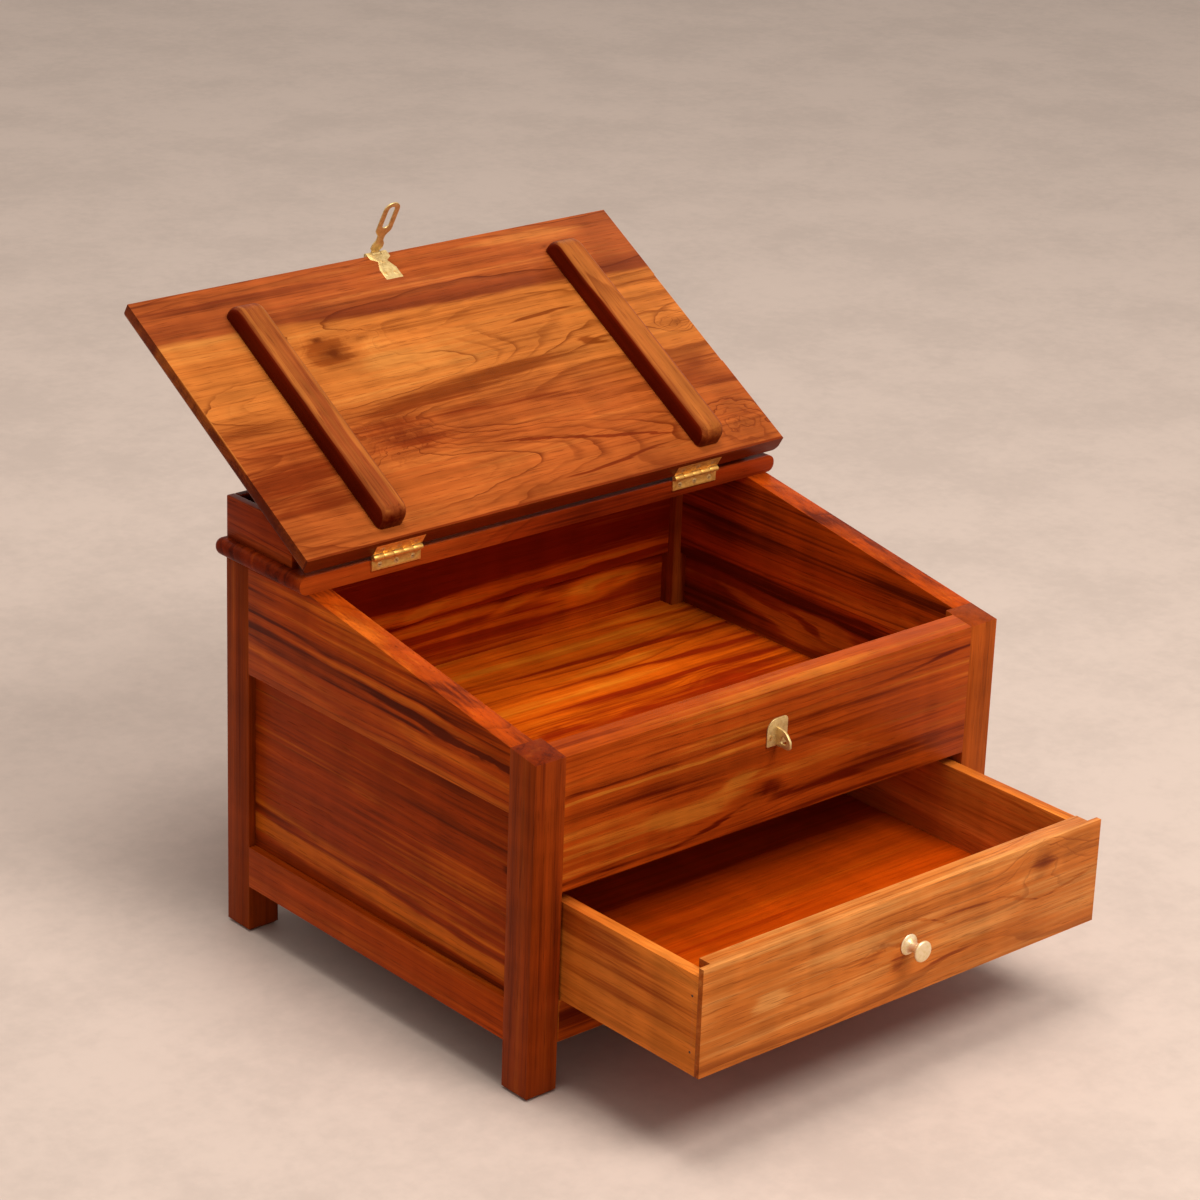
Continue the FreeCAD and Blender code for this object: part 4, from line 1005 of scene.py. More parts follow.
class WRITINGBOX_OT_compartment_floor(bpy.types.Operator):
    """Dress the floor of the letter compartment"""
    bl_idname = "writing_box.compartment_floor"
    bl_label = "Compartment floor"
    seed = 51.0
    ease = 0.0006
    knots = ((0.377, 0.197, 0.035, 0.020, 0.020, 0.3), (0.19, 0.190, 0.03, 0.016, 0.014, 0.2),
             (0.27, 0.180, 0.025, 0.012, 0.010, 0.3), (0.10, 0.30, 0.05, 0.02, 0.02, 0.0))
    bands = (0.05, 0.8, (
        (0.0, 0.0), (0.15, -0.1), (0.19, 0.1), (0.225, 0.0), (0.233, -0.6), (0.237, 0.1), (0.252, 0.3),
        (0.264, -0.1), (0.269, -0.8), (0.274, 0.1), (0.290, 0.4), (0.301, 0.1), (0.306, -0.7), (0.312, 0.1),
        (0.330, 0.4), (0.346, 0.1), (0.351, -0.5), (0.356, 0.2), (0.39, 0.1)))
    patches = ((0.34, 0.17, 0.17, 0.05, -0.1, -0.5), (0.43, 0.25, 0.07, 0.05, 0.0, -0.4),
               (0.20, 0.20, 0.10, 0.02, 0.0, -0.3))

    def execute(self, context):
        dress_board(context, "compartment_floor", "inside", "floor_wood", ALONG_X, self.seed, self.ease,
                    figure={"knots": self.knots, "bands": self.bands, "patches": self.patches},
                    pith_across=0.6, pith_below=-0.3, wander=0.04, lines=0.7, streaks=0.2, contrast=0.5)
        return {"FINISHED"}


class WRITINGBOX_OT_drawer_ways(bpy.types.Operator):
    """Dress the kickers, runners and guides that the drawer slides between"""
    bl_idname = "writing_box.drawer_ways"
    bl_label = "Drawer ways"
    seed = 61.0
    ease = 0.0006
    parts = ("kicker", "runner", "guide")

    def execute(self, context):
        nodes = [f"drawer_{part}_{side}" for part in self.parts for side in ("left", "right")]
        for step, node in enumerate(nodes):
            dress_board(context, node, "inside", "inside_wood", ALONG_Y_UPRIGHT, self.seed + step, self.ease,
                        wander=0.02)
        return {"FINISHED"}


class WRITINGBOX_OT_fixed_top(bpy.types.Operator):
    """Dress the fixed top behind the lid"""
    bl_idname = "writing_box.fixed_top"
    bl_label = "Fixed top"
    seed = 71.0
    ease = 0.0008

    def execute(self, context):
        dress_board(context, "fixed_top", "top", "top_wood", ALONG_X, self.seed, self.ease,
                    pith_across=0.2, pith_below=-0.05, wander=0.03, lines=0.6, streaks=0.6)
        return {"FINISHED"}


class WRITINGBOX_OT_gallery(bpy.types.Operator):
    """Dress the gallery's back and two cheeks"""
    bl_idname = "writing_box.gallery"
    bl_label = "Gallery"
    seed = 75.0
    boards = (("gallery_back", ALONG_X_UPRIGHT), ("gallery_cheek_left", ALONG_Y_UPRIGHT),
              ("gallery_cheek_right", ALONG_Y_UPRIGHT))

    def execute(self, context):
        for step, (node, rows) in enumerate(self.boards):
            dress_board(context, node, "top", "top_wood", rows, self.seed + step, pith_across=-0.1,
                        wander=0.02, contrast=0.6)
        return {"FINISHED"}


class WRITINGBOX_OT_lid(bpy.types.Operator):
    """Dress the three boards of the lid"""
    bl_idname = "writing_box.lid"
    bl_label = "Lid boards"
    knots = (
        (0.150, 0.157, 0.200, 0.030, 0.025, 0.0), (0.125, 0.050, 0.220, 0.032, 0.028, 0.0),
        (0.150, 0.196, 0.034, 0.019, 0.016, 1.0), (0.143, 0.214, 0.016, 0.009, 0.006, 0.9),
        (0.182, 0.206, 0.024, 0.010, 0.006, 0.6),
        (0.158, 0.094, 0.036, 0.020, 0.010, 0.12), (0.140, 0.080, 0.016, 0.012, 0.006, 0.2),
        (0.487, 0.032, 0.024, 0.018, 0.010, 0.12), (0.502, 0.149, 0.018, 0.009, 0.012, 0.8),
        (0.428, 0.263, 0.010, 0.004, 0.002, 0.7))
    patches = (
        (0.150, 0.197, 0.030, 0.016, 0.0, -0.6), (0.156, 0.090, 0.030, 0.012, 0.0, -0.5),
        (0.06, 0.190, 0.08, 0.030, 0.0, -0.35), (0.27, 0.139, 0.14, 0.006, 0.05, -0.45),
        (0.20, 0.128, 0.08, 0.004, 0.0, -0.35),
        (0.04, 0.145, 0.05, 0.010, 0.0, -0.6), (0.06, 0.205, 0.06, 0.010, 0.0, 0.1),
        (0.37, 0.190, 0.045, 0.0014, 0.05, -0.9), (0.22, 0.175, 0.05, 0.012, 0.0, 0.3),
        (0.405, 0.154, 0.014, 0.004, -0.3, -0.8), (0.42, 0.278, 0.07, 0.008, 0.0, 0.7),
        (0.30, 0.262, 0.15, 0.004, -0.02, -0.5), (0.10, 0.272, 0.12, 0.005, 0.0, -0.4),
        (0.30, 0.105, 0.10, 0.003, -0.05, -0.3), (0.46, 0.19, 0.06, 0.010, 0.0, 0.3),
        # the broad dark patch at 0.03 along and 0.07 across is painted shadow near the left batten
        (0.03, 0.07, 0.07, 0.06, 0.0, -0.7), (0.345, 0.050, 0.060, 0.0016, -0.22, -1.0),
        (0.335, 0.022, 0.050, 0.0016, 0.10, -0.9), (0.27, 0.066, 0.03, 0.0014, -0.2, -0.7))
    tone_slant = 0.044
    # where each shade starts and ends, in metres from the hinges; between two shades they blend
    tone_places = {"red": (0.0, 0.114), "gold": (0.160, 0.236), "deep": (0.242, 0.250), "edge": (0.266, 0.34)}
    deep_share = 0.75
    # painted shade along the lid's rear edge, at the hinges, this far across
    rear_edge_shade = 0.0024
    seed = 81.0
    ease = 0.0012

    def execute(self, context):
        settings = settings_of(context).lid
        rows = lid_frame()
        origin = (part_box("lid_board_middle")[0].x, LID_AXIS.y, LID_AXIS.z)
        edge = tints(settings, "edge_")
        dark, main = (Vector(tint) for tint in edge[:2])
        deep = (dark, main.lerp(dark, self.deep_share), main)
        shades = {"red": tints(settings, "red_"), "gold": tints(settings), "deep": deep, "edge": edge}
        tones = [(place, shades[shade]) for shade, places in self.tone_places.items() for place in places]
        material = wood("lid_wood", shades["gold"], rows, origin,
                        grain_of(settings, self.seed, pith_across=0.10, pith_below=-0.50, wander=0.012,
                                 lines=0.9, streaks=0.12, streak_width=0.05, contrast=0.5, band=0.016),
                        knots=self.knots, patches=self.patches, tones=(self.tone_slant, tones),
                        painted_edge_shade=self.rear_edge_shade)
        seams = self.seams(rows)
        for node in ("lid_board_rear", "lid_board_middle", "lid_board_front"):
            dress(context, node, material, "lid_wood", self.ease, glued=seams)
        return {"FINISHED"}

    def seams(self, rows):
        """The two glued joints, between the middle board and its neighbours."""
        corners = frame["nodes"]["lid_board_middle"].data.vertices
        reach = [(rows @ (corner.co - LID_AXIS)).y for corner in corners]
        return [(LID_AXIS + rows[1] * place, rows[1].copy()) for place in (min(reach), max(reach))]


class WRITINGBOX_OT_battens(bpy.types.Operator):
    """Dress the two battens under the lid"""
    bl_idname = "writing_box.battens"
    bl_label = "Lid battens"
    patches = {
        "left": ((0.13, 0.022, 0.30, 0.003, 0.0, 0.5), (0.20, 0.004, 0.10, 0.002, 0.0, 0.5)),
        "right": ((0.215, 0.006, 0.035, 0.005, 0.02, 1.3), (0.06, 0.008, 0.05, 0.003, 0.02, 0.6),
                  (0.14, 0.016, 0.20, 0.006, 0.0, 0.4)),
    }
    # painted shade on each batten's left side, this far across
    shaded_side = 0.0008
    seed = 91.0
    ease = 0.0008

    def execute(self, context):
        across, along, out = lid_frame()
        rows = Matrix((along, across, -out))
        for step, side in enumerate(("left", "right")):
            node = "lid_batten_" + side
            dress_board(context, node, "battens", "batten_wood", rows, self.seed + step, self.ease,
                        origin=(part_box(node)[0].x, LID_AXIS.y, LID_AXIS.z),
                        figure={"patches": self.patches[side], "painted_edge_shade": self.shaded_side},
                        pith_across=0.013, pith_below=-0.12, wander=0.006, lines=0.5, streaks=0.15, band=0.02,
                        contrast=0.6)
        return {"FINISHED"}


class WRITINGBOX_OT_drawer_front(bpy.types.Operator):
    """Dress the front of the drawer"""
    bl_idname = "writing_box.drawer_front"
    bl_label = "Drawer front"
    seed = 101.0
    ease = 0.0012
    knots = ((0.369, 0.071, 0.028, 0.019, 0.016, 0.5), (0.366, 0.060, 0.016, 0.006, 0.002, 0.4),
             (0.02, 0.044, 0.120, 0.022, 0.014, 0.0), (0.186, 0.052, 0.016, 0.007, 0.004, 0.4),
             (0.30, 0.020, 0.08, 0.014, 0.010, 0.0))
    patches = (
        (0.235, 0.058, 0.024, 0.0012, -0.40, -0.5), (0.29, 0.0525, 0.045, 0.0012, -0.02, -0.45),
        (0.345, 0.045, 0.024, 0.0013, -0.35, -0.5), (0.372, 0.039, 0.022, 0.0013, 0.0, -0.5),
        (0.405, 0.043, 0.024, 0.0013, 0.20, -0.45), (0.14, 0.0335, 0.075, 0.0010, 0.0, -0.5),
        (0.069, 0.042, 0.018, 0.009, 0.0, 0.6), (0.036, 0.042, 0.016, 0.016, 0.0, -0.3),
        (0.26, 0.017, 0.04, 0.0010, 0.05, -0.5), (0.16, 0.062, 0.06, 0.008, -0.05, 0.4),
        # the dark patch at 0.206 along and 0.030 across, below the knob, is partly brown figure and partly the
        # knob's painted shadow
        (0.30, 0.034, 0.05, 0.008, 0.0, 0.3), (0.206, 0.030, 0.010, 0.008, -0.2, -0.7),
        (0.178, 0.044, 0.016, 0.004, 0.1, -0.5), (0.369, 0.071, 0.014, 0.008, 0.0, -0.6),
        # the long light strip at 0.090 across is a painted highlight along the drawer front's top edge
        (0.22, 0.090, 0.30, 0.004, 0.0, 0.5))

    def execute(self, context):
        dress_board(context, "drawer_front", "drawer", "drawer_front_wood", ALONG_X_UPRIGHT, self.seed,
                    self.ease, figure={"knots": self.knots, "patches": self.patches}, pith_across=0.16,
                    pith_below=-0.20, wander=0.012, lines=0.5, streaks=0.10, contrast=0.42)
        return {"FINISHED"}


class WRITINGBOX_OT_drawer_box(bpy.types.Operator):
    """Dress the sides, back and floor of the drawer"""
    bl_idname = "writing_box.drawer_box"
    bl_label = "Drawer box"
    seed = 111.0
    ease = 0.0009
    boards = (("drawer_side_left", ALONG_Y_UPRIGHT), ("drawer_side_right", ALONG_Y_UPRIGHT),
              ("drawer_back", ALONG_X_UPRIGHT))
    floor_seed = 117.0
    floor_ease = 0.0005

    def execute(self, context):
        for step, (node, rows) in enumerate(self.boards):
            dress_board(context, node, "drawer", "drawer_box_wood", rows, self.seed + step, self.ease,
                        prefix="box_", pith_across=-0.06, pith_below=0.10, taper=-0.12, wander=0.02,
                        lines=0.35, streaks=0.1, contrast=0.45)
        dress_board(context, "drawer_bottom", "drawer", "drawer_box_wood", ALONG_X, self.floor_seed,
                    self.floor_ease, prefix="floor_", pith_across=0.3, pith_below=-0.1, wander=0.03,
                    lines=0.4, streaks=0.1, contrast=0.5)
        return {"FINISHED"}


class WRITINGBOX_OT_hinges(bpy.types.Operator):
    """Dress the two hinges of the lid"""
    bl_idname = "writing_box.hinges"
    bl_label = "Hinges"

    def execute(self, context):
        settings = settings_of(context).brass
        material = brass("hinge_brass", settings.gold_dull, settings.gold)
        for part in ("case_hinge_leaf", "lid_hinge_leaf", "hinge_pin"):
            for side in ("left", "right"):
                dress_brass(context, f"{part}_{side}", material)
        return {"FINISHED"}


class WRITINGBOX_OT_hasp(bpy.types.Operator):
    """Dress the hasp's plate and pin and make its slotted flap"""
    bl_idname = "writing_box.hasp"
    bl_label = "Hasp"
    plate_corner = 0.0016
    half_outline = ((0.00435, 0.0, 0), (0.00435, 0.0032, 0.0016), (0.0066, 0.0062, 0.0022),
                    (0.0062, 0.0110, 0.0030), (0.0038, 0.0150, 0.0050), (0.0040, 0.0205, 0.0040),
                    (0.0085, 0.0262, 0.0060), (0.0085, 0.0580, 0.0080))
    slot = ((-0.0035, 0.0295, 0.0034), (0.0035, 0.0295, 0.0034), (0.0035, 0.0535, 0.0034),
            (-0.0035, 0.0535, 0.0034))
    barrel = ((0.00125, -0.00435), (0.00205, -0.00435), (0.0023, -0.0041), (0.0023, 0.0041),
              (0.00205, 0.00435), (0.00125, 0.00435), (0.00125, -0.00435))
    thickness = 0.0013
    flap_wear = 1.2
    barrel_steps = 40
    lean = math.radians(3)

    def execute(self, context):
        settings = settings_of(context).brass
        material = brass("hasp_brass", settings.dull, settings.bright)
        dress_brass(context, "hasp_base", material, corners=(lid_frame()[2], self.plate_corner))
        dress_brass(context, "hasp_pin", material)
        outline = self.half_outline + tuple((-x, y, bend) for x, y, bend in reversed(self.half_outline))
        flap = stamping(context, "flap_plate", (outline, self.slot), self.thickness,
                        self.flap_wear * settings.ease)
        barrel_radius = max(radius for radius, _ in self.barrel)
        flap.transform(Matrix.Translation((0, 0, self.thickness / 2 - barrel_radius)))
        roll = turning("flap_barrel", self.barrel, self.barrel_steps)
        roll.transform(Matrix.Rotation(QUARTER_TURN, 4, "Y"))
        low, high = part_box("hasp_pin")
        axis = (low + high) / 2
        stand = Matrix.Rotation(QUARTER_TURN + LID_TILT - self.lean, 4, "X")
        mesh = joined("hasp_flap_cut", (flap, roll))
        mesh.transform(Matrix.Translation(axis) @ stand)
        finish_piece(mesh, "hasp_flap_finished", material, "brass", "hasp_flap")
        return {"FINISHED"}


class WRITINGBOX_OT_staple(bpy.types.Operator):
    """Make the staple: a plate with an ear that the hasp goes over"""
    bl_idname = "writing_box.staple"
    bl_label = "Staple"
    plate_outline = ((-0.0110, 0.0, 0.0012), (0.0110, 0.0, 0.0008), (0.0110, 0.0235, 0.0036),
                     (-0.0110, 0.0235, 0.0098))
    ear_outline = ((0.0, 0.0, 0), (0.0170, 0.0, 0.0028), (0.0170, 0.0074, 0.0050), (0.0112, 0.0146, 0.0100),
                   (0.0, 0.0160, 0))
    ear_hole = ((0.0058, 0.0034, 0.0016), (0.0126, 0.0034, 0.0024), (0.0126, 0.0078, 0.0016),
                (0.0070, 0.0100, 0.0018))
    thickness = 0.0013
    ear_thickness = 0.0022
    ear_wear = 2

    def execute(self, context):
        settings = settings_of(context).brass
        low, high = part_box("hasp_staple")
        upright = Matrix.Rotation(QUARTER_TURN, 4, "X")
        plate = stamping(context, "staple_plate", (self.plate_outline,), self.thickness, settings.ease)
        plate.transform(Matrix.Translation((0, high.y - self.thickness / 2, low.z)) @ upright)
        ear = stamping(context, "staple_ear", (self.ear_outline, self.ear_hole), self.ear_thickness,
                       self.ear_wear * settings.ease)
        outward = Matrix.Rotation(-QUARTER_TURN, 4, "Z")
        ear.transform(Matrix.Translation((0, high.y, low.z)) @ outward @ upright)
        mesh = joined("staple", (plate, ear))
        material = brass("staple_brass", settings.dull, settings.bright)
        finish_piece(mesh, "hasp_staple_finished", material, "brass", "hasp_staple")
        return {"FINISHED"}


class WRITINGBOX_OT_knob(bpy.types.Operator):
    """Turn the drawer's knob and dress its bolt"""
    bl_idname = "writing_box.knob"
    bl_label = "Drawer knob"
    profile = ((0.0, 0.0), (0.0084, 0.0), (0.0087, 0.0003), (0.0087, 0.0009), (0.0083, 0.0014),
               (0.0070, 0.0018), (0.0058, 0.0026), (0.0050, 0.0038), (0.0045, 0.0054), (0.0042, 0.0074),
               (0.0042, 0.0094), (0.0046, 0.0112), (0.0056, 0.0126), (0.0070, 0.0135), (0.0082, 0.0141),
               (0.0087, 0.0147), (0.0088, 0.0154), (0.0087, 0.0161), (0.0083, 0.0167), (0.0078, 0.0170),
               (0.0060, 0.0172), (0.0035, 0.01735), (0.0, 0.0174))

    def execute(self, context):
        settings = settings_of(context).brass
        material = brass("knob_brass", settings.bright, settings.pale)
        low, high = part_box("drawer_knob")
        body = turning("knob_turning", self.profile)
        middle = ((low.x + high.x) / 2, high.y, (low.z + high.z) / 2)
        body.transform(Matrix.Translation(middle) @ Matrix.Rotation(QUARTER_TURN, 4, "X"))
        finish_piece(joined("knob", (body,)), "drawer_knob_finished", material, "brass", "drawer_knob")
        dress_brass(context, "knob_screw", material, "brass_screws")
        return {"FINISHED"}


# an edge that turns by less than this, in radians, is shaded smooth on the screws and nails
SOFT_BEND = 0.6


class Growing(Wiring):
    """Adds geometry nodes to one tree and joins them."""

    def made(self, kind, settings=None, **inputs):
        """A node's first output. Its inputs are fed by name: radius_top feeds Radius Top."""
        node = self.node(kind, **(settings or {}))
        for name, value in inputs.items():
            self.feed(node.inputs[name.replace("_", " ").title()], value)
        return node.outputs[0]

    def place_xyz(self, x=0.0, y=0.0, z=0.0):
        return self.made("ShaderNodeCombineXYZ", x=x, y=y, z=z)

    def moved(self, part, z=0.0, size=None):
        """The part shifted along Z and, where a size is given, scaled to it."""
        return self.made("GeometryNodeTransform", geometry=part, translation=self.place_xyz(z=z), scale=size)

    def joined(self, *parts):
        join = self.node("GeometryNodeJoinGeometry")
        for part in parts:
            self.feed(join.inputs[0], part)
        return join.outputs[0]

    def twist(self, seed):
        """A turn about Z, drawn at random for each point."""
        chance = self.node("FunctionNodeRandomValue", data_type="FLOAT")
        low, high = [socket for socket in chance.inputs if socket.type == "VALUE" and socket.enabled][:2]
        low.default_value = 0.0
        high.default_value = math.pi
        self.feed(chance.inputs["Seed"], seed)
        drawn = next(socket for socket in chance.outputs if socket.type == "VALUE" and socket.enabled)
        return self.made("FunctionNodeEulerToRotation", euler=self.place_xyz(z=drawn))


def new_tree(name, numbers):
    """A geometry node tree with the given number inputs, and its two ends."""
    tree = bpy.data.node_groups.new(name, "GeometryNodeTree")
    tree.interface.new_socket("Geometry", in_out="INPUT", socket_type="NodeSocketGeometry")
    for label, value in numbers.items():
        kind = "NodeSocketInt" if isinstance(value, int) else "NodeSocketFloat"
        tree.interface.new_socket(label, in_out="INPUT", socket_type=kind).default_value = value
    tree.interface.new_socket("Material", in_out="INPUT", socket_type="NodeSocketMaterial")
    tree.interface.new_socket("Geometry", in_out="OUTPUT", socket_type="NodeSocketGeometry")
    grow = Growing(tree)
    return tree, grow, grow.node("NodeGroupInput").outputs, grow.node("NodeGroupOutput").inputs[0]


def set_on_points(grow, given, leaving, piece):
    """Put the piece on every point, its Z the way the point faces, and turned at random."""
    soft = grow.math("LESS_THAN", grow.made("GeometryNodeInputMeshEdgeAngle"), SOFT_BEND)
    smooth = grow.made("GeometryNodeSetShadeSmooth", {"domain": "EDGE"}, geometry=piece, shade_smooth=soft)
    facing = grow.made("GeometryNodeInputNamedAttribute", {"data_type": "FLOAT_VECTOR"}, name="facing")
    aligned = grow.made("FunctionNodeAlignRotationToVector", {"axis": "Z"}, vector=facing)
    turned = grow.made("FunctionNodeRotateRotation", {"rotation_space": "LOCAL"}, rotation=aligned,
                       rotate_by=grow.twist(given["Seed"]))
    copies = grow.made("GeometryNodeInstanceOnPoints", points=given["Geometry"], instance=smooth,
                       rotation=turned)
    real = grow.made("GeometryNodeRealizeInstances", geometry=copies)
    coated = grow.made("GeometryNodeSetMaterial", geometry=real, material=given["Material"])
    grow.feed(leaving, coated)


def screw_tree():
    """The node tree that sets a slotted raised-head screw on every point."""
    tree, grow, given, leaving = new_tree("Slotted screws", {
        "Head radius": 0.0024, "Head rise": 0.00025, "Countersink": 0.0013, "Shank radius": 0.0011,
        "Shank length": 0.009, "Slot width": 0.0006, "Slot depth": 0.0004, "Seed": 0})
    radius, rise = given["Head radius"], given["Head rise"]
    ball = grow.made("GeometryNodeMeshUVSphere", segments=32, rings=16)
    dome = grow.moved(ball, size=grow.place_xyz(radius, radius, rise))
    deep = grow.math("MULTIPLY", given["Slot depth"], 2.0)
    long = grow.math("MULTIPLY", radius, 3.0)
    bar = grow.made("GeometryNodeMeshCube", size=grow.place_xyz(long, given["Slot width"], deep))
    head = grow.made("GeometryNodeMeshBoolean", {"operation": "DIFFERENCE", "solver": "EXACT"}, mesh_1=dome,
                     mesh_2=grow.moved(bar, z=rise))
    cone = grow.made("GeometryNodeMeshCone", vertices=32, radius_top=radius,
                     radius_bottom=given["Shank radius"], depth=given["Countersink"])
    under = grow.moved(cone, z=grow.math("MULTIPLY", given["Countersink"], -1.0))
    rod = grow.made("GeometryNodeMeshCylinder", vertices=16, radius=given["Shank radius"],
                    depth=given["Shank length"])
    shank = grow.moved(rod, z=grow.math("MULTIPLY", given["Shank length"], -0.5))
    set_on_points(grow, given, leaving, grow.joined(head, under, shank))
    return tree


def nail_tree():
    """The node tree that drives a round-headed nail at every point."""
    tree, grow, given, leaving = new_tree("Nails", {
        "Nail radius": 0.0011, "Nail length": 0.024, "Head rise": 0.0002, "Sunk": 0.0002, "Seed": 0})
    radius, length = given["Nail radius"], given["Nail length"]
    sunk = grow.math("MULTIPLY", given["Sunk"], -1.0)
    ball = grow.made("GeometryNodeMeshUVSphere", segments=24, rings=12)
    dome = grow.moved(ball, z=sunk, size=grow.place_xyz(radius, radius, given["Head rise"]))
    rod = grow.made("GeometryNodeMeshCylinder", vertices=24, radius=radius, depth=length)
    shank = grow.moved(rod, z=grow.math("MULTIPLY_ADD", length, -0.5, sunk))
    set_on_points(grow, given, leaving, grow.joined(dome, shank))
    return tree


def grown(context, name, tree, places, material, **numbers):
    """The plain mesh of a tree run on points that each face a way."""
    mesh = bpy.data.meshes.new(name + "_points")
    mesh.from_pydata([tuple(place) for place, _ in places], [], [])
    facing = mesh.attributes.new("facing", "FLOAT_VECTOR", "POINT")
    for index, (_, way) in enumerate(places):
        facing.data[index].vector = way
    maker = bpy.data.objects.new(name + "_maker", mesh)
    modifier = maker.modifiers.new(name, "NODES")
    modifier.node_group = tree
    identifiers = {item.name: item.identifier for item in tree.interface.items_tree if item.in_out == "INPUT"}
    modifier[identifiers["Material"]] = material
    for label, value in labelled(numbers).items():
        modifier[identifiers[label]] = value
    return taken(context, maker)


class WRITINGBOX_OT_screws(bpy.types.Operator):
    """Set the slotted screws of the hinges, the hasp and the staple"""
    bl_idname = "writing_box.screws"
    bl_label = "Screws"
    case_seed = 3
    lid_seed = 5

    def execute(self, context):
        settings = settings_of(context).brass
        material = brass("screw_brass", settings.gold_dull, settings.bright)
        rows = lid_frame()
        tree = screw_tree()
        forward = Vector((0, -1, 0))
        case_parts = (("case_hinge_screws", forward), ("staple_screws", forward))
        lid_parts = (("lid_hinge_screws", -rows[1]), ("hasp_screws", rows[2].copy()))
        sets = (("case_screws", self.case_seed, case_parts), ("lid_screws", self.lid_seed, lid_parts))
        for name, seed, parts in sets:
            places = [place for node, way in parts for place in head_places(node, way)]
            mesh = grown(context, name, tree, places, material, slot_width=settings.slot_width,
                         head_rise=settings.screw_rise, seed=seed)
            finish_piece(mesh, name, material, "brass_screws", *(node for node, _ in parts))
        return {"FINISHED"}


class WRITINGBOX_OT_nails(bpy.types.Operator):
    """Drive the nails that hold the drawer's sides"""
    bl_idname = "writing_box.nails"
    bl_label = "Drawer nails"
    seed = 7

    def execute(self, context):
        material = steel("nail_steel", settings_of(context).brass.nail)
        mesh = grown(context, "drawer_nails_driven", nail_tree(), head_places("drawer_nails"), material,
                     seed=self.seed)
        finish_piece(mesh, "drawer_nails_driven", material, "nail_steel", "drawer_nails")
        return {"FINISHED"}


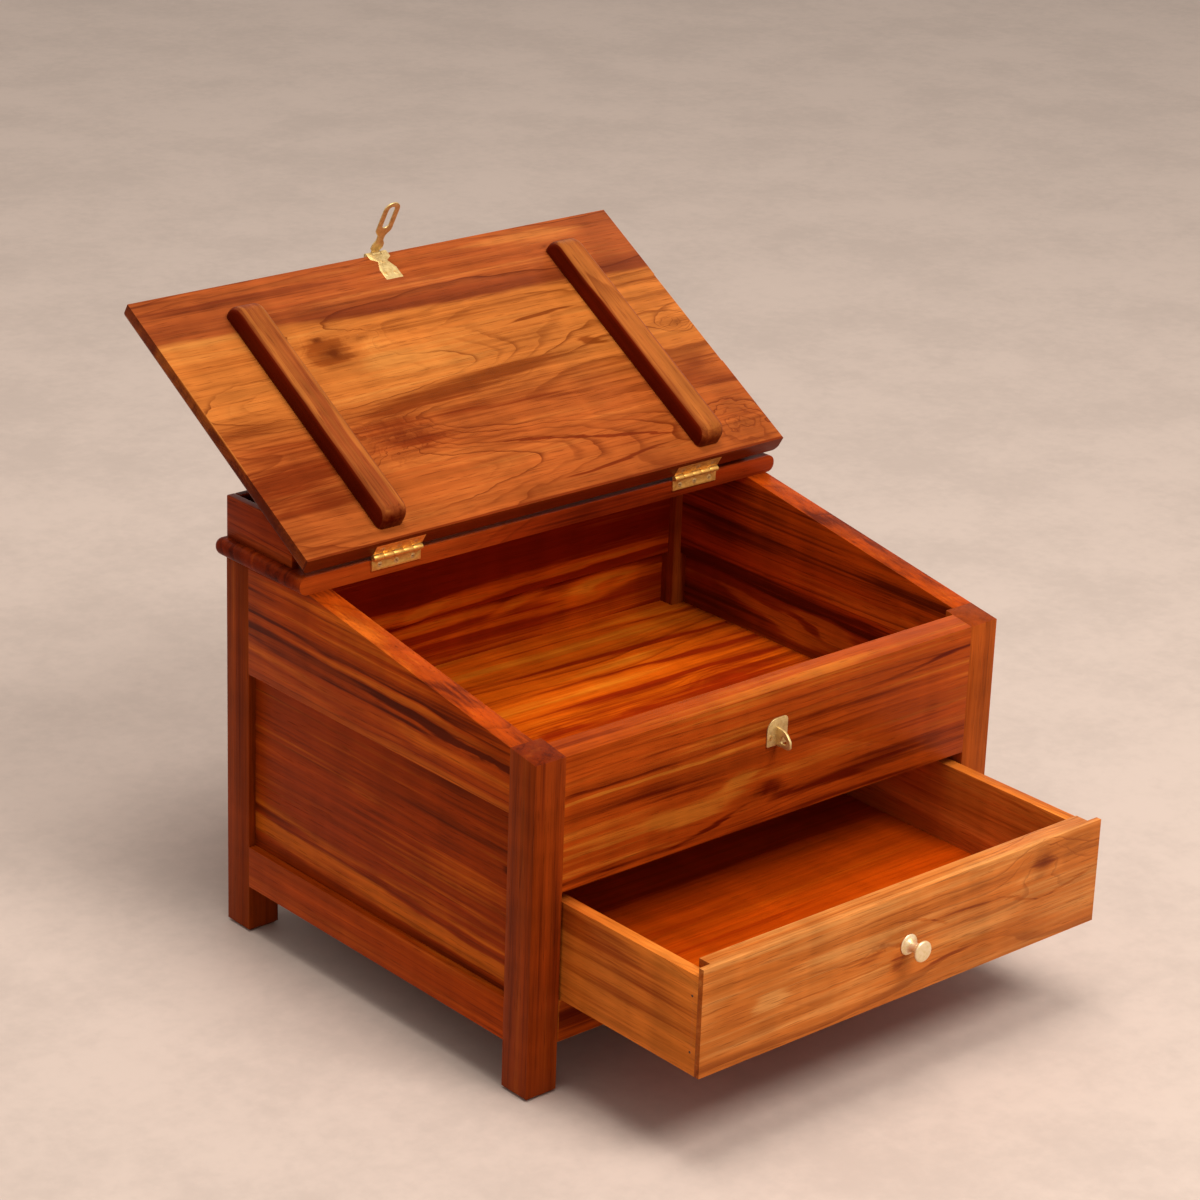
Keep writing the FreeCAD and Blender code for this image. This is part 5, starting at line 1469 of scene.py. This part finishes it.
class WRITINGBOX_OT_stage(bpy.types.Operator):
    """Lay the floor and set the lamps and the camera"""
    bl_idname = "writing_box.stage"
    bl_label = "Floor, lamps and camera"
    floor_reach = 12.0
    floor_cloud = 0.88
    surround_colour = (1, 0.97, 0.93, 1)
    lamp_colour = (1.0, 0.965, 0.92)
    lamp_target = Vector((0, 0, 0.2))
    window_place = Vector((-0.3, -0.2, 4.2))
    window_size = 1.6
    front_place = Vector((0.5, -2.2, 3.1))
    front_size = 1.4
    # the camera's place in metres, its turn, dip and roll in radians, and its lens and sensor in mm
    camera_place = (-1.845992, -2.054464, 1.387568)
    turn = 0.7276244
    dip = -0.3762179
    roll = 0.0362453
    lens = 107.9858
    sensor = 36.0
    far_clip = 60

    def execute(self, context):
        settings = settings_of(context).room
        self.lay_floor(context, settings)
        self.light_world(context, settings)
        self.hang_lamp(context, "window_lamp", self.window_place, self.window_size, settings.key_power)
        self.hang_lamp(context, "front_lamp", self.front_place, self.front_size, settings.fill_power)
        self.place_camera(context)
        return {"FINISHED"}

    def lay_floor(self, context, settings):
        material, wire, shader, coordinates = new_material("pale_floor")
        place = coordinates["Object"]
        cloud = wire.noise(place, (5, 5, 5), detail=6, rough=0.62)
        speck = wire.noise(place, (70, 70, 70), detail=3, rough=0.6, shift=2)
        level = wire.math("ADD", wire.math("MULTIPLY", cloud, 0.7), wire.math("MULTIPLY", speck, 0.3))
        pale = tuple(settings.floor)
        clouded = tuple(part * self.floor_cloud for part in pale)
        wire.feed(shader.inputs["Base Color"], wire.mix(wire.span(level, 0.35, 0.62), clouded, pale))
        shader.inputs["Roughness"].default_value = 0.7
        mesh = bpy.data.meshes.new("floor")
        corners = [(x * self.floor_reach, y * self.floor_reach, 0)
                   for x, y in ((-1, -1), (1, -1), (1, 1), (-1, 1))]
        mesh.from_pydata(corners, [], [(0, 1, 2, 3)])
        mesh.materials.append(material)
        floor = bpy.data.objects.new("floor", mesh)
        context.scene.collection.objects.link(floor)

    def light_world(self, context, settings):
        """Soft light from all round, with a colour of its own where the camera sees past the floor."""
        world = bpy.data.worlds.new("soft_room")
        context.scene.world = world
        world.use_nodes = True
        wire = Wiring(world.node_tree)
        lit = world.node_tree.nodes["Background"]
        lit.inputs["Color"].default_value = self.surround_colour
        lit.inputs["Strength"].default_value = settings.surround
        seen = wire.node("ShaderNodeBackground")
        seen.inputs["Color"].default_value = (*settings.sky, 1)
        path = wire.node("ShaderNodeLightPath").outputs
        direct = wire.math("MAXIMUM", path["Is Camera Ray"], path["Is Transmission Ray"])
        direct = wire.math("MAXIMUM", direct, path["Is Glossy Ray"])
        blend = wire.node("ShaderNodeMixShader")
        wire.feed(blend.inputs[0], direct)
        wire.feed(blend.inputs[1], lit.outputs[0])
        wire.feed(blend.inputs[2], seen.outputs[0])
        wire.feed(world.node_tree.nodes["World Output"].inputs[0], blend.outputs[0])

    def hang_lamp(self, context, name, place, size, power):
        """A square lamp that faces the box."""
        lamp = bpy.data.lights.new(name, "AREA")
        lamp.shape = "SQUARE"
        lamp.size = size
        lamp.energy = power
        lamp.color = self.lamp_colour
        hung = bpy.data.objects.new(name, lamp)
        hung.location = place
        hung.rotation_euler = (self.lamp_target - place).to_track_quat("-Z", "Y").to_euler()
        context.scene.collection.objects.link(hung)

    def place_camera(self, context):
        level_ahead = math.cos(self.dip)
        ahead = Vector((math.sin(self.turn) * level_ahead, math.cos(self.turn) * level_ahead,
                        math.sin(self.dip)))
        flat = Vector((math.cos(self.turn), -math.sin(self.turn), 0))
        upward = flat.cross(ahead)
        right = flat * math.cos(self.roll) + upward * math.sin(self.roll)
        up = upward * math.cos(self.roll) - flat * math.sin(self.roll)
        lens = bpy.data.cameras.new("room_camera")
        lens.sensor_width = self.sensor
        lens.lens = self.lens
        lens.clip_end = self.far_clip
        camera = bpy.data.objects.new("room_camera", lens)
        turned = Matrix((right, up, -ahead)).transposed().to_4x4()
        camera.matrix_world = Matrix.Translation(self.camera_place) @ turned
        context.scene.collection.objects.link(camera)
        context.scene.camera = camera


OPERATORS = (
    WRITINGBOX_OT_posts, WRITINGBOX_OT_side_rails, WRITINGBOX_OT_side_panels, WRITINGBOX_OT_front,
    WRITINGBOX_OT_back, WRITINGBOX_OT_compartment_floor, WRITINGBOX_OT_drawer_ways, WRITINGBOX_OT_fixed_top,
    WRITINGBOX_OT_gallery, WRITINGBOX_OT_lid, WRITINGBOX_OT_battens, WRITINGBOX_OT_drawer_front,
    WRITINGBOX_OT_drawer_box, WRITINGBOX_OT_hinges, WRITINGBOX_OT_hasp, WRITINGBOX_OT_staple,
    WRITINGBOX_OT_knob, WRITINGBOX_OT_screws, WRITINGBOX_OT_nails, WRITINGBOX_OT_stage,
)


class WRITINGBOX_PT_pieces(bpy.types.Panel):
    """Lists the pieces of the writing box"""
    bl_idname = "WRITINGBOX_PT_pieces"
    bl_label = "Writing Box"
    bl_space_type = "VIEW_3D"
    bl_region_type = "UI"
    bl_category = "Writing Box"

    def draw(self, context):
        for operator in OPERATORS:
            self.layout.operator(operator.bl_idname)


SETTINGS = (PostWood, RailWood, PanelWood, FrontWood, InsideWood, TopWood, LidWood, BattenWood, DrawerWood,
            BrassFinish, BoxEdges, RoomStage, WritingBox)


def register():
    for part in (*SETTINGS, *OPERATORS, WRITINGBOX_PT_pieces):
        bpy.utils.register_class(part)
    bpy.types.Scene.writing_box = PointerProperty(type=WritingBox)


def unregister():
    del bpy.types.Scene.writing_box
    for part in reversed((*SETTINGS, *OPERATORS, WRITINGBOX_PT_pieces)):
        bpy.utils.unregister_class(part)


def main():
    """Make every piece in order."""
    register()
    bpy.context.scene.view_settings.view_transform = "Standard"
    for operator in OPERATORS:
        group, name = operator.bl_idname.split(".")
        getattr(getattr(bpy.ops, group), name)()
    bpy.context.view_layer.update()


if __name__ == "__main__":
    main()
